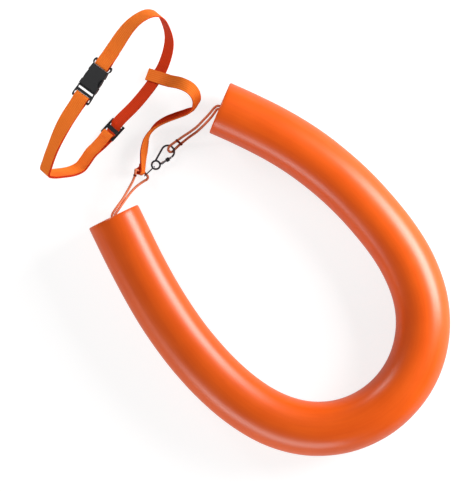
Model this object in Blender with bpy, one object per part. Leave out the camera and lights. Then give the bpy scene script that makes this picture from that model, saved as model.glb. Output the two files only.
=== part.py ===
"""Foam swim belt.

A foam stick bent into a U lies flat on the plane z = 0.  One endless cord runs through
its bore and leaves each end as a bight.  A snap hook and a link join the two bights.  A
webbing tether, sewn round the left bight, carries an adjustable waist belt.
Metres, +Z up, +Y towards the top of the U, origin under the middle of the object.
"""

from math import acos, atan2, cos, pi, radians, sin, sqrt

import bmesh
import bpy
from mathutils import Matrix, Vector

# Foam stick: its axis starts at the left end and turns by shares of the whole bend
FOAM_LENGTH = 1.010
FOAM_DIAMETER = 0.070
FOAM_BORE = 0.0085
FOAM_START_X = -0.16845
FOAM_START_Y = 0.01985
FOAM_START_HEADING = radians(-64.0)
FOAM_BEND = radians(221.1)
FOAM_BEND_SHARES = (-0.03, 0.221, 0.324, 0.991, 1.0, 0.917, 0.244, 0.331, 0.106)
FOAM_SIDES = 32
FOAM_RINGS = 56

# Cord: two strands in the bore, a bight out of each end
CORD_DIAMETER = 0.0032
CORD_STRAND_OFFSET = 0.0021
CORD_INSET = 0.001
CORD_STEP = 0.008

# Webbing
WEBBING_WIDTH = 0.020
WEBBING_THICKNESS = 0.0015
WEBBING_STEP = 0.005
TETHER_WIDTH = 0.016
CLEARANCE = 0.0003

# Waist belt: a loop in a leaning plane, its long side along the plane's own x
LOOP_CENTRE_X = -0.17915
LOOP_CENTRE_Y = 0.17595
LOOP_CENTRE_Z = 0.0516
LOOP_HEADING = radians(48.7)
LOOP_LEAN = radians(48.7)
LOOP_LENGTH = 0.250
LOOP_DEPTH = 0.116
SEWN_TAIL = 0.022
UPPER_RUN_SHARES = (
    (0.225, 0.380), (0.285, 0.406), (0.343, 0.417), (0.402, 0.395), (0.461, 0.318), (0.489, 0.185),
    (0.467, -0.041), (0.428, -0.207), (0.367, -0.330), (0.296, -0.415), (0.246, -0.442),
    (0.196, -0.462), (0.112, -0.477), (0.040, -0.475),
)
JUNCTION_INDEX = 10
LOWER_RUN_SHARES = (
    (-0.272, -0.461), (-0.322, -0.479), (-0.364, -0.484), (-0.408, -0.427), (-0.458, -0.299),
    (-0.496, -0.177), (-0.505, -0.103), (-0.458, -0.030), (-0.395, 0.048), (-0.315, 0.128),
    (-0.230, 0.190),
)

# Side-release buckle: x runs from the plug through the mouth into the receptacle
BUCKLE_X_SHARE = -0.0336
BUCKLE_Y_SHARE = 0.2716
BUCKLE_ANGLE = radians(10.9)
BUCKLE_ROLL = radians(26.0)
TWIST_REACH = 0.060
BODY_REACH = 0.0035
BUCKLE_THICKNESS = 0.0080
BUCKLE_WALL = 0.0014
BUCKLE_ROUNDING = 0.0012
EAR_REACH = 0.0045
FRAME_THICKNESS = 0.0034
FRAME_ROUNDING = 0.0008
STRAP_BAR_RADIUS = 0.0016
STRAP_SLOT = 0.0052
PLUG_STRAP_SLOT = 0.0060
RECEPTACLE_BODY = 0.0308
RECEPTACLE_SHARES = ((0.0, 1.0), (0.62, 1.0), (0.80, 0.95), (1.0, 0.90))
EAR_SHARES = ((0.0, 0.30), (0.37, 0.47), (0.50, 0.87), (0.66, 1.0), (0.86, 0.91), (1.0, 0.58))
HOLE_SHARES = ((0.0, 0.14), (0.13, 0.16), (0.35, 0.49), (0.58, 0.60), (0.80, 0.53), (1.0, 0.40))
WINDOW_START_SHARE = 0.224
WINDOW_END_SHARE = 0.844
WINDOW_DEPTH = 0.0050
PLUG_SHOULDER = 0.0020
PLUG_FREE_SLOT = 0.0032
PLUG_FREE_SLOT_SHARE = 0.44
PLUG_INNER_BAR = 0.0034
PLUG_EAR_SHARES = ((0.0, 0.56), (0.10, 0.84), (0.35, 0.89), (0.75, 0.80), (1.0, 0.71))
TONGUE_END_ROOM = 0.0036
TONGUE_WIDTH = 0.0048
TONGUE_THICKNESS = 0.0040
PRONG_END_ROOM = 0.0019
PRONG_THICKNESS = 0.0044
PRONG_SHARES = (
    (0.0, 0.49), (0.10, 0.52), (0.25, 0.62), (0.45, 0.70), (0.75, 0.69), (0.94, 0.55), (1.0, 0.58),
    (0.98, 0.66), (0.86, 0.82), (0.72, 0.93), (0.52, 0.975), (0.35, 0.965), (0.245, 0.92),
    (0.235, 0.73), (0.10, 0.69), (0.0, 0.67),
)

# Three-bar slider: x along the webbing, z towards the inside of the belt
SLIDER_X_SHARE = -0.107
SLIDER_Y_SHARE = -0.470
SLIDER_ANGLE = radians(-1.6)
SLIDER_END_WALL = 0.0005
SLIDER_RAIL = 0.0025
SLIDER_SIDE_ROOM = 0.0009
SLIDER_THICKNESS = 0.0030
SLIDER_BAR_RADIUS = 0.0009
SLIDER_BAR_REACH = 0.0106
SLIDER_PLATE = 0.0056
SLIDER_PLATE_THICKNESS = 0.0016
WEAVE_FAR_SHARES = (0.28, 0.80)
WEAVE_NEAR_SHARES = (0.22, 0.75)

# Snap hook: flat on the floor side, x from the eye to the bow, gate on the -y side
HOOK_X = -0.10595
HOOK_Y = 0.09605
HOOK_Z = 0.0054
HOOK_HEADING = radians(46.2)
HOOK_WIRE = 0.0026
HOOK_EYE_RADIUS = 0.0054
HOOK_BOW_RADIUS = 0.0083
HOOK_EYE_X = -0.0126
HOOK_EYE_Y = -0.0006
HOOK_BOW_X = 0.0103
HOOK_SPINE_ANGLE = radians(50.0)
HOOK_SPINE_LEAN = radians(14.5)
HOOK_NOSE_ANGLE = radians(-100.0)
HOOK_LUG_ANGLE = radians(-30.0)
HOOK_LUG_REACH = 0.0030
HOOK_LUG_THICKNESS = 0.0010
GATE_DIAMETER = 0.0030
GATE_NOSE_GAP = 0.0004
GATE_FORK_DEPTH = 0.0034
GATE_FORK_GAP = 0.0016
GATE_COLLAR_DIAMETER = 0.0038
GATE_COLLAR_LENGTH = 0.0022
GATE_BORE = 0.0018
GATE_BORE_DEPTH = 0.0052
GATE_PIN_DIAMETER = 0.0011
GATE_PIN_HEAD = 0.0019
GATE_PIN_ROOM = 0.0002
SPRING_WIRE = 0.0003
SPRING_TURNS = 6
SPRING_CURL_POINTS = 10
SLEEVE_DIAMETER = 0.0052
SLEEVE_LENGTH = 0.0048
SLEEVE_FLUTES = 16
SLEEVE_FLUTE_SHARE = 0.90
SLEEVE_PLACE_SHARE = 0.60

# Link between the hook's eye and the left bight
LINK_WIRE = 0.0016
LINK_HEIGHT = 0.0060
LINK_REACH = 0.0122
LINK_ANGLE = radians(177.2)

# Tether: reach from the left bight to the far side of its bend, its points and the
# direction from its upper edge to its lower edge at each of them
TETHER_END_X = -0.13475
TETHER_END_Y = 0.07875
TETHER_END_Z = 0.0138
TETHER_CROSSING = radians(17.0)
TETHER_FOLD_REACH = 0.0130
TETHER_LOOP_REACH = 0.0260
TETHER_TAIL = 0.016
TETHER_TAIL_SHARE = 0.2
TETHER_REACH = 0.110
TETHER_SHARES = (
    (0.482, 1.018, 0.215), (0.592, 0.962, 0.232), (0.654, 0.885, 0.200), (0.671, 0.802, 0.147),
    (0.641, 0.718, 0.090), (0.565, 0.671, 0.045), (0.436, 0.624, 0.006), (0.325, 0.582, -0.021),
    (0.220, 0.524, -0.030), (0.138, 0.452, -0.028), (0.081, 0.346, -0.022), (0.046, 0.220, -0.010),
)
TETHER_EDGE_SHARES = (
    (0.36, 0.93, -0.05), (0.50, 0.84, -0.20), (0.64, 0.62, -0.45), (0.63, 0.30, -0.72),
    (0.45, 0.25, -0.86), (0.25, 0.42, -0.87), (0.15, 0.52, -0.84), (0.18, 0.50, -0.85),
    (0.22, 0.36, -0.91), (0.20, 0.20, -0.96), (0.36, 0.05, -0.93), (0.45, 0.03, -0.89),
)
TETHER_END_EDGE_SHARE = (0.55, -0.03, -0.835)

# Route of each bight, chosen by hand, from one strand's seat in the bore to the other's
LEFT_BIGHT_ROUTE = (
    (-0.1699, 0.0181, 0.0348), (-0.1706, 0.0194, 0.0348), (-0.1709, 0.0220, 0.0346),
    (-0.1689, 0.0261, 0.0336), (-0.1646, 0.0323, 0.0319), (-0.1576, 0.0416, 0.0280),
    (-0.1489, 0.0558, 0.0234), (-0.1436, 0.0659, 0.0216), (-0.1409, 0.0730, 0.0226),
    (-0.1402, 0.0780, 0.0236), (-0.1401, 0.0803, 0.0226), (-0.1396, 0.0800, 0.0213),
    (-0.1373, 0.0795, 0.0180), (-0.1348, 0.0788, 0.0138), (-0.1321, 0.0780, 0.0096),
    (-0.1300, 0.0775, 0.0064), (-0.1280, 0.0755, 0.0053), (-0.1268, 0.0742, 0.0052),
    (-0.1253, 0.0727, 0.0050), (-0.1245, 0.0704, 0.0047), (-0.1258, 0.0680, 0.0044),
    (-0.1293, 0.0659, 0.0044), (-0.1344, 0.0625, 0.0059), (-0.1402, 0.0578, 0.0097),
    (-0.1465, 0.0510, 0.0148), (-0.1538, 0.0408, 0.0232), (-0.1598, 0.0321, 0.0302),
    (-0.1636, 0.0271, 0.0334), (-0.1661, 0.0237, 0.0346), (-0.1668, 0.0213, 0.0348),
    (-0.1661, 0.0198, 0.0348),
)
RIGHT_BIGHT_ROUTE = (
    (-0.0301, 0.1610, 0.0348), (-0.0313, 0.1616, 0.0348), (-0.0348, 0.1619, 0.0347),
    (-0.0386, 0.1595, 0.0339), (-0.0442, 0.1529, 0.0310), (-0.0527, 0.1440, 0.0262),
    (-0.0610, 0.1357, 0.0210), (-0.0697, 0.1292, 0.0164), (-0.0780, 0.1239, 0.0128),
    (-0.0867, 0.1179, 0.0099), (-0.0950, 0.1120, 0.0088), (-0.0975, 0.1095, 0.0083),
    (-0.0983, 0.1064, 0.0064), (-0.0972, 0.1043, 0.0054), (-0.0951, 0.1032, 0.0044),
    (-0.0922, 0.1042, 0.0024), (-0.0903, 0.1061, 0.0021), (-0.0857, 0.1094, 0.0022),
    (-0.0793, 0.1145, 0.0038), (-0.0714, 0.1212, 0.0086), (-0.0617, 0.1289, 0.0156),
    (-0.0517, 0.1379, 0.0236), (-0.0420, 0.1483, 0.0310), (-0.0372, 0.1549, 0.0340),
    (-0.0352, 0.1575, 0.0347), (-0.0330, 0.1578, 0.0348), (-0.0316, 0.1573, 0.0348),
)

# Fineness of the meshes
ARC_STEPS = 6
WIRE_SIDES = 12
OVERRUN = 0.001
LEVEL_TOLERANCE = 0.00001
SHARP_ANGLE = radians(40.0)

COLOURS = {
    "foam": ("#E65A10", 0.45, 0.0),
    "webbing": ("#F26A1B", 0.75, 0.0),
    "cord": ("#D9501A", 0.70, 0.0),
    "acetal": ("#2E2E30", 0.40, 0.0),
    "steel": ("#C9CBD0", 0.18, 1.0),
    "dark_steel": ("#3B3A3C", 0.35, 1.0),
    "spring_steel": ("#A9ABAF", 0.30, 1.0),
}


# Blender helpers
def clear_scene():
    for item in list(bpy.data.objects):
        bpy.data.objects.remove(item, do_unlink=True)


def linear(channel):
    """One sRGB channel as a linear value."""
    if channel <= 0.04045:
        return channel / 12.92
    return ((channel + 0.055) / 1.055) ** 2.4


def finish(name, kind):
    """A Principled material of its own for one piece."""
    code, roughness, metallic = COLOURS[kind]
    channels = [int(code[i:i + 2], 16) / 255.0 for i in (1, 3, 5)]
    material = bpy.data.materials.new(name + "_finish")
    material.use_nodes = True
    shader = material.node_tree.nodes["Principled BSDF"]
    shader.inputs["Base Color"].default_value = [linear(c) for c in channels] + [1.0]
    shader.inputs["Roughness"].default_value = roughness
    shader.inputs["Metallic"].default_value = metallic
    return material


def piece(bm, name="shape"):
    """An object from a bmesh, its faces turned outwards."""
    bmesh.ops.recalc_face_normals(bm, faces=bm.faces)
    mesh = bpy.data.meshes.new(name)
    bm.to_mesh(mesh)
    bm.free()
    item = bpy.data.objects.new(name, mesh)
    bpy.context.scene.collection.objects.link(item)
    return item


def settle(item, name, kind, place=None, sharp=radians(32.0)):
    """Give a finished shape its name, material, shading and place."""
    item.name = name
    item.data.name = name
    item.data.materials.clear()
    item.data.materials.append(finish(name, kind))
    item.data.shade_smooth()
    item.data.set_sharp_from_angle(angle=sharp)
    item.matrix_world = place if place is not None else Matrix.Identity(4)
    return item


def combine(item, other, operation):
    """Join or cut one shape with another, which is used up."""
    step = item.modifiers.new(operation.lower(), "BOOLEAN")
    step.operation = operation
    step.solver = "EXACT"
    step.object = other
    bpy.context.view_layer.update()
    result = bpy.data.meshes.new_from_object(item.evaluated_get(bpy.context.evaluated_depsgraph_get()))
    item.modifiers.clear()
    old = item.data
    item.data = result
    bpy.data.meshes.remove(old)
    bpy.data.objects.remove(other, do_unlink=True)
    return item


def add(item, other):
    return combine(item, other, "UNION")


def cut(item, other):
    return combine(item, other, "DIFFERENCE")


# Paths
def lerp(a, b, share):
    return a + (b - a) * share


def smooth_path(points, step):
    """Points at about one step along a centripetal curve through the given points."""
    points = [Vector(p) for p in points]
    ends = [points[0] * 2 - points[1]] + points + [points[-1] * 2 - points[-2]]
    path = [points[0]]
    for a, b, c, d in zip(ends, ends[1:], ends[2:], ends[3:]):
        knots = [0.0]
        for start, stop in ((a, b), (b, c), (c, d)):
            knots.append(knots[-1] + sqrt((stop - start).length))
        count = max(1, round((c - b).length / step))
        for i in range(1, count + 1):
            path.append(knot_point((a, b, c, d), knots, lerp(knots[1], knots[2], i / count)))
    return path


def knot_point(points, knots, t):
    """One point of the curve through four points with the given knots."""
    level = list(points)
    for order in (1, 2, 3):
        row = []
        for i in range(4 - order):
            low, high = (knots[i], knots[i + order]) if order < 3 else (knots[1], knots[2])
            if order == 2:
                low, high = knots[i], knots[i + 2]
            row.append(level[i] + (level[i + 1] - level[i]) * ((t - low) / (high - low)))
        level = row
    return level[0]


def arc(centre, radius, start, stop, count=ARC_STEPS):
    """Points of an arc in the plane z = 0, both ends included."""
    turns = [lerp(start, stop, i / count) for i in range(count + 1)]
    return [Vector(centre) + Vector((cos(t), sin(t), 0)) * radius for t in turns]


def tangents(path, closed=False):
    """The direction of a path at each of its points."""
    count = len(path)
    result = []
    for i in range(count):
        before = path[i - 1] if closed or i > 0 else path[i]
        after = path[(i + 1) % count] if closed or i < count - 1 else path[i]
        result.append((after - before).normalized())
    return result


# Shapes
def ring_of(bm, centre, side, up, radii, count, turn=0.0):
    """A ring of vertices round a centre, with one radius or a repeating list of them."""
    verts = []
    for i in range(count):
        angle = 2 * pi * i / count + turn
        radius = radii[i % len(radii)]
        verts.append(bm.verts.new(centre + (side * cos(angle) + up * sin(angle)) * radius))
    return verts


def bridge(bm, first, second):
    """Faces between two rings, where the second may have a whole part of the first's count."""
    many, few = len(first), len(second)
    group = many // few
    for i in range(many):
        a, b = first[i], first[(i + 1) % many]
        c = second[(i + group // 2) // group % few]
        d = second[(i + 1 + group // 2) // group % few]
        bm.faces.new((a, b, c) if c is d else (a, b, d, c))


def tube(path, radius, sides=WIRE_SIDES, closed=False, side_hint=(0, 0, 1)):
    """A round wire along a path that keeps square to one hinted direction."""
    bm = bmesh.new()
    rings = []
    hint = Vector(side_hint)
    for point, along in zip(path, tangents(path, closed)):
        side = along.cross(hint).normalized()
        rings.append(ring_of(bm, point, side, side.cross(along), (radius,), sides))
    for first, second in zip(rings, rings[1:]):
        bridge(bm, first, second)
    if closed:
        bridge(bm, rings[-1], rings[0])
    else:
        bm.faces.new(rings[0])
        bm.faces.new(rings[-1])
    return piece(bm)


def turned(profile, sides, radius_shares=(1.0,)):
    """A solid of revolution about x from (x, radius) pairs, pointed where the radius is 0."""
    bm = bmesh.new()
    rings = []
    for x, radius in profile:
        centre = Vector((x, 0, 0))
        if radius > 0:
            radii = [radius * share for share in radius_shares]
            rings.append(ring_of(bm, centre, Vector((0, 1, 0)), Vector((0, 0, 1)), radii, sides))
        else:
            rings.append([bm.verts.new(centre)])
    for first, second in zip(rings, rings[1:]):
        if len(first) > 1 and len(second) > 1:
            bridge(bm, first, second)
            continue
        tip, rim = (first[0], second) if len(first) == 1 else (second[0], first)
        for i in range(sides):
            bm.faces.new((tip, rim[i], rim[(i + 1) % sides]))
    for rim in (rings[0], rings[-1]):
        if len(rim) > 1:
            bm.faces.new(rim)
    return piece(bm)


def prism(outline, low, high, rounding=0.0, steps=2):
    """An outline in x and y extruded from low to high, its rims rounded."""
    bm = bmesh.new()
    base = bm.faces.new([bm.verts.new((x, y, low)) for x, y in outline])
    lifted = bmesh.ops.extrude_face_region(bm, geom=[base])["geom"]
    moved = [v for v in lifted if isinstance(v, bmesh.types.BMVert)]
    bmesh.ops.translate(bm, verts=moved, vec=(0, 0, high - low))
    bmesh.ops.recalc_face_normals(bm, faces=bm.faces)
    if rounding > 0:
        rims = [e for e in bm.edges if abs(e.verts[0].co.z - e.verts[1].co.z) < LEVEL_TOLERANCE]
        bmesh.ops.bevel(bm, geom=rims, offset=rounding, segments=steps, profile=0.5, affect="EDGES")
    return piece(bm)


def block(x_low, x_high, y_low, y_high, z_low, z_high):
    corners = ((x_low, y_low), (x_high, y_low), (x_high, y_high), (x_low, y_high))
    return prism(corners, z_low, z_high)


def mirrored(half):
    """An outline from its half on the +y side, read along x."""
    return list(half) + [(x, -y) for x, y in reversed(half)]


def ribbon(path, edges, width, thickness):
    """Flat webbing along a path, with the direction of its width at each point."""
    bm = bmesh.new()
    rings = []
    for point, along, edge in zip(path, tangents(path), edges):
        across = (edge - along * edge.dot(along)).normalized()
        face = along.cross(across)
        corners = ((1, 1), (-1, 1), (-1, -1), (1, -1))
        rings.append([
            bm.verts.new(point + across * (width / 2 * a) + face * (thickness / 2 * b))
            for a, b in corners
        ])
    for first, second in zip(rings, rings[1:]):
        bridge(bm, first, second)
    bm.faces.new(rings[0])
    bm.faces.new(rings[-1])
    return piece(bm)


def cord(name, route, kind="cord", diameter=CORD_DIAMETER, fineness=2):
    """A curve with a round section and filled ends along a list of points."""
    data = bpy.data.curves.new(name, "CURVE")
    data.dimensions = "3D"
    data.resolution_u = 1
    data.render_resolution_u = 1
    data.bevel_depth = diameter / 2
    data.bevel_resolution = fineness
    data.use_fill_caps = True
    spline = data.splines.new("POLY")
    spline.points.add(len(route) - 1)
    for target, point in zip(spline.points, route):
        target.co = (*point, 1)
    data.materials.append(finish(name, kind))
    item = bpy.data.objects.new(name, data)
    bpy.context.scene.collection.objects.link(item)
    return item


# Foam stick and the cord in its bore
def bend_at(share):
    """The relative bend of the stick's axis at a share of its length."""
    place = share * (len(FOAM_BEND_SHARES) - 1)
    low = min(int(place), len(FOAM_BEND_SHARES) - 2)
    return lerp(FOAM_BEND_SHARES[low], FOAM_BEND_SHARES[low + 1], place - low)


def foam_axis(count, inset=0.0, offset=0.0):
    """Evenly spaced points of the stick's axis with the left side's direction at each."""
    fine = count * 8
    bends = [bend_at((i + 0.5) / fine) for i in range(fine)]
    height = FOAM_DIAMETER / 2 * cos(pi / FOAM_SIDES)
    at = Vector((FOAM_START_X, FOAM_START_Y, height))
    heading = FOAM_START_HEADING
    stations = [(at.copy(), heading)]
    for bend in bends:
        turn = FOAM_BEND * bend / sum(bends)
        heading += turn / 2
        at += Vector((cos(heading), sin(heading), 0)) * (FOAM_LENGTH / fine)
        heading += turn / 2
        stations.append((at.copy(), heading))
    result = []
    for i in range(count + 1):
        point, heading = stations[i * 8]
        along = Vector((cos(heading), sin(heading), 0))
        side = Vector((-sin(heading), cos(heading), 0))
        pull = inset if i == 0 else -inset if i == count else 0.0
        result.append((point + side * offset + along * pull, side))
    return result


def foam_tube():
    """The bent stick with its bore, a flat strip of its skin on the floor."""
    bm = bmesh.new()
    up = Vector((0, 0, 1))
    outer, inner = [], []
    half_side = pi / FOAM_SIDES
    for point, side in foam_axis(FOAM_RINGS):
        outer.append(ring_of(bm, point, side, up, (FOAM_DIAMETER / 2,), FOAM_SIDES, half_side))
        inner.append(ring_of(bm, point, side, up, (FOAM_BORE / 2,), FOAM_SIDES // 4, half_side))
    for rings in (outer, inner):
        for first, second in zip(rings, rings[1:]):
            bridge(bm, first, second)
    bridge(bm, outer[0], inner[0])
    bridge(bm, outer[-1], inner[-1])
    settle(piece(bm), "foam_tube", "foam")


def bore_cords():
    for name, offset in (("bore_cord_a", -CORD_STRAND_OFFSET), ("bore_cord_b", CORD_STRAND_OFFSET)):
        inset = CORD_INSET + CLEARANCE
        cord(name, [point for point, side in foam_axis(FOAM_RINGS, inset, offset)])


def bights():
    cord("end_loop_cord_left", smooth_path(LEFT_BIGHT_ROUTE, CORD_STEP))
    cord("end_loop_cord_right", smooth_path(RIGHT_BIGHT_ROUTE, CORD_STEP))


# Places of the belt, its buckle and its slider
def loop_place():
    centre = Matrix.Translation((LOOP_CENTRE_X, LOOP_CENTRE_Y, LOOP_CENTRE_Z))
    return centre @ Matrix.Rotation(LOOP_HEADING, 4, "Z") @ Matrix.Rotation(LOOP_LEAN, 4, "X")


def place_in_loop(x_share, y_share, angle):
    """A frame in the belt's plane: x at an angle in it, -y across the webbing."""
    spot = Matrix.Translation((x_share * LOOP_LENGTH, y_share * LOOP_DEPTH, 0))
    return spot @ Matrix.Rotation(angle, 4, "Z") @ Matrix.Rotation(-pi / 2, 4, "X")


def buckle_in_loop():
    """The buckle's frame, its face turned out of the belt's plane by the webbing's twist."""
    flat = place_in_loop(BUCKLE_X_SHARE, BUCKLE_Y_SHARE, BUCKLE_ANGLE)
    return flat @ Matrix.Rotation(BUCKLE_ROLL, 4, "X")


def slider_in_loop():
    return place_in_loop(SLIDER_X_SHARE, SLIDER_Y_SHARE, SLIDER_ANGLE)


def run(shares):
    return [Vector((x * LOOP_LENGTH, y * LOOP_DEPTH, 0)) for x, y in shares]


def receptacle_bar_x():
    return RECEPTACLE_BODY + STRAP_SLOT + STRAP_BAR_RADIUS


def plug_bar_x():
    body = CLEARANCE + PLUG_SHOULDER + PLUG_FREE_SLOT + PLUG_INNER_BAR
    return -(body + PLUG_STRAP_SLOT + STRAP_BAR_RADIUS)


def in_plane(place, pairs):
    """Points given along a frame's x and z."""
    return [place @ Vector((x, 0, z)) for x, z in pairs]


def turn_round(x, radius, facing):
    """Points over a bar at x, from its +z side to its -z side, on the facing side."""
    turns = [pi / 2 - pi * i / ARC_STEPS for i in range(ARC_STEPS + 1)]
    return [(x + facing * radius * cos(t), radius * sin(t)) for t in turns]


def loose_turn(x, radius, slot, facing):
    """Points over a bar at x where the webbing's fold fills the slot beside the bar."""
    slack = slot - WEBBING_THICKNESS - CLEARANCE * 2
    return [(x, radius)] + turn_round(x + facing * slack, radius, facing) + [(x, -radius)]


def twist(path):
    """The webbing's width direction at each point of the belt: turned at the buckle."""
    buckle = buckle_in_loop()
    bars = in_plane(buckle, [(receptacle_bar_x(), 0), (plug_bar_x(), 0)])
    turned_edge = buckle.to_3x3() @ Vector((0, -1, 0))
    edges = []
    for point in path:
        distance = min((point - bar).length for bar in bars)
        share = min(1.0, max(0.0, 1.0 - (distance - SEWN_TAIL) / TWIST_REACH))
        share = share * share * (3 - share * 2)
        edges.append(lerp(Vector((0, 0, 1)), turned_edge, share).normalized())
    return edges


# Belt webbing
def belt_path():
    """The webbing from its sewn tail at the receptacle to its sewn tail at the slider."""
    layer = WEBBING_THICKNESS + CLEARANCE
    buckle, slider = buckle_in_loop(), slider_in_loop()
    bar = STRAP_BAR_RADIUS + CLEARANCE + WEBBING_THICKNESS / 2
    top, bottom = receptacle_bar_x(), plug_bar_x()
    tail = in_plane(buckle, [(top + SEWN_TAIL, -layer / 2), (top + SEWN_TAIL / 2, -layer / 2)])
    head = in_plane(buckle, reversed(loose_turn(top, bar, STRAP_SLOT, -1)))
    lead = in_plane(buckle, [(top + SEWN_TAIL / 2, layer / 2)])
    upper = smooth_path(lead + run(UPPER_RUN_SHARES) + weave_in(slider), WEBBING_STEP)
    lower = weave_out(slider) + run(LOWER_RUN_SHARES)
    lower = smooth_path(lower + in_plane(buckle, [(bottom - SEWN_TAIL / 2, layer / 2)]), WEBBING_STEP)
    foot = in_plane(buckle, loose_turn(bottom, bar, PLUG_STRAP_SLOT, 1))
    back = [p for p in inward(lower, layer) if not near_slider(slider, p)]
    return tail + head + upper + lower + foot + list(reversed(back)) + fold_back(slider)


def over_bar():
    return SLIDER_BAR_RADIUS + CLEARANCE + WEBBING_THICKNESS / 2


def weave_in(slider):
    """Over the far end bar, down the slot and behind the middle plate."""
    over = over_bar()
    under = -(SLIDER_PLATE_THICKNESS / 2 + CLEARANCE + WEBBING_THICKNESS / 2)
    reach, half = SLIDER_BAR_REACH, SLIDER_PLATE / 2
    slot = reach - half
    far, near = WEAVE_FAR_SHARES, WEAVE_NEAR_SHARES
    pairs = [(reach + slot, over), (reach, over), (reach - slot * far[0], over * far[1])]
    pairs += [(half + slot * near[0], under * near[1]), (half, under), (0, under)]
    return in_plane(slider, pairs)


def weave_out(slider):
    """Behind the near end bar and the tail that lies under it."""
    deep = -(over_bar() + WEBBING_THICKNESS + CLEARANCE)
    under = -(SLIDER_PLATE_THICKNESS / 2 + CLEARANCE + WEBBING_THICKNESS / 2)
    half, reach = SLIDER_PLATE / 2, SLIDER_BAR_REACH
    layer = WEBBING_THICKNESS + CLEARANCE
    pairs = [(-half, under), (-(half + reach) / 2, deep), (-reach, deep)]
    pairs += [(-(reach + SEWN_TAIL / 2), deep), (-(reach + SEWN_TAIL), -layer / 2)]
    return in_plane(slider, pairs)


def fold_back(slider):
    """The returning layer over the near end bar and back under it as a sewn tail."""
    over, reach = over_bar(), SLIDER_BAR_REACH
    layer = WEBBING_THICKNESS + CLEARANCE
    pairs = [(-(reach + SEWN_TAIL), layer / 2), (-(reach + SEWN_TAIL / 2), layer / 2)]
    pairs += turn_round(-reach, over, 1)
    pairs += [(-(reach + SEWN_TAIL / 2), -over)]
    return in_plane(slider, pairs)


def near_slider(slider, point):
    """Whether a point of the returning layer lies where its fold at the slider is drawn."""
    local = slider.inverted() @ point
    return local.x > -(SLIDER_BAR_REACH + SEWN_TAIL + WEBBING_STEP / 2) and abs(local.z) < WEBBING_WIDTH


def inward(path, distance):
    """A path of the belt moved off the webbing's inner face."""
    steps = zip(path, tangents(path), twist(path))
    return [point + along.cross(edge).normalized() * distance for point, along, edge in steps]


def belt_strap():
    path = belt_path()
    item = ribbon(path, twist(path), WEBBING_WIDTH, WEBBING_THICKNESS)
    settle(item, "belt_strap", "webbing", loop_place())


# Tether
def tether_frame():
    """The crossing of tether and belt: x along the tether, y along its width, z inwards."""
    points = run(UPPER_RUN_SHARES)
    spot = points[JUNCTION_INDEX]
    along = (points[JUNCTION_INDEX + 1] - points[JUNCTION_INDEX - 1]).normalized()
    across = Vector((0, 0, 1))
    x_axis = across * cos(TETHER_CROSSING) - along * sin(TETHER_CROSSING)
    y_axis = along * cos(TETHER_CROSSING) + across * sin(TETHER_CROSSING)
    z_axis = x_axis.cross(y_axis)
    frame = Matrix((x_axis, y_axis, z_axis)).transposed().to_4x4()
    return loop_place() @ Matrix.Translation(spot) @ frame


def tether_stations():
    """Centre points and width directions from the tail at the belt to the tail at the cord."""
    frame = tether_frame()
    layer = WEBBING_THICKNESS + CLEARANCE * 2
    edge = (frame.to_3x3() @ Vector((0, -1, 0))).normalized()
    clear = TETHER_FOLD_REACH
    fold = turn_round(-clear, layer, -1)
    local = [(TETHER_LOOP_REACH, 0), (clear, -layer), (0, -layer)] + list(reversed(fold))
    local += [(0, layer), (clear, layer), (TETHER_LOOP_REACH, layer)]
    points = [frame @ Vector((x, 0, z)) for x, z in local]
    edges = [edge] * len(points)
    end = Vector((TETHER_END_X, TETHER_END_Y, TETHER_END_Z))
    points += [end + Vector(s) * TETHER_REACH for s in TETHER_SHARES]
    edges += [Vector(s).normalized() for s in TETHER_EDGE_SHARES]
    return points, edges, end


def tether_end(before, end):
    """The sewn loop round the cord, with the cord's direction through it."""
    along = (end - before).normalized()
    edge = Vector(TETHER_END_EDGE_SHARE)
    edge = (edge - along * edge.dot(along)).normalized()
    face = along.cross(edge)
    radius = CORD_DIAMETER / 2 + CLEARANCE + WEBBING_THICKNESS / 2
    drop = radius * TETHER_TAIL_SHARE - WEBBING_THICKNESS - CLEARANCE
    points = [end + face * (radius * cos(t)) + along * (radius * sin(t))
              for t in [pi * i / ARC_STEPS for i in range(ARC_STEPS + 1)]]
    points.append(end - along * (TETHER_TAIL / 2) + face * drop)
    points.append(end - along * TETHER_TAIL + face * drop)
    return points, edge


def tether_strap():
    points, edges, end = tether_stations()
    closing, edge = tether_end(points[-1], end)
    points += closing
    edges += [edge] * len(closing)
    whole = smooth_path(points, WEBBING_STEP)
    item = ribbon(whole, spread(points, edges, whole), TETHER_WIDTH, WEBBING_THICKNESS)
    settle(item, "tether_strap", "webbing")


def spread(points, edges, path):
    """The width direction at each point of a path, blended between its route's points."""
    result = []
    leg = 0
    for point in path:
        while leg < len(points) - 2 and (points[leg + 1] - point).dot(points[leg + 1] - points[leg]) < 0:
            leg += 1
        step = points[leg + 1] - points[leg]
        share = min(1.0, max(0.0, (point - points[leg]).dot(step) / step.length_squared))
        result.append(lerp(edges[leg], edges[leg + 1], share).normalized())
    return result


# Buckle
def body_outline(start, stop, shares):
    """The body's outline from shares of its length and of half its width."""
    return mirrored([(lerp(start, stop, x), y * body_width() / 2) for x, y in shares])


def ear_outline(start, stop, shares):
    """An outline outside the webbing's edges by shares of the ears' reach."""
    return mirrored(ear_points(start, stop, shares))


def ear_points(start, stop, shares):
    return [(lerp(start, stop, x), WEBBING_WIDTH / 2 + y * EAR_REACH) for x, y in shares]


def strap_hole(start, bar_x, past):
    """A cutter for the room round the webbing, from the body to past the strap bar."""
    half = ear_points(start, bar_x, HOLE_SHARES)
    half.append((past, half[-1][1]))
    return prism(mirrored(half), -FRAME_THICKNESS, FRAME_THICKNESS)


def bar_reach():
    return WEBBING_WIDTH / 2 + HOLE_SHARES[-1][1] * EAR_REACH + OVERRUN


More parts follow.
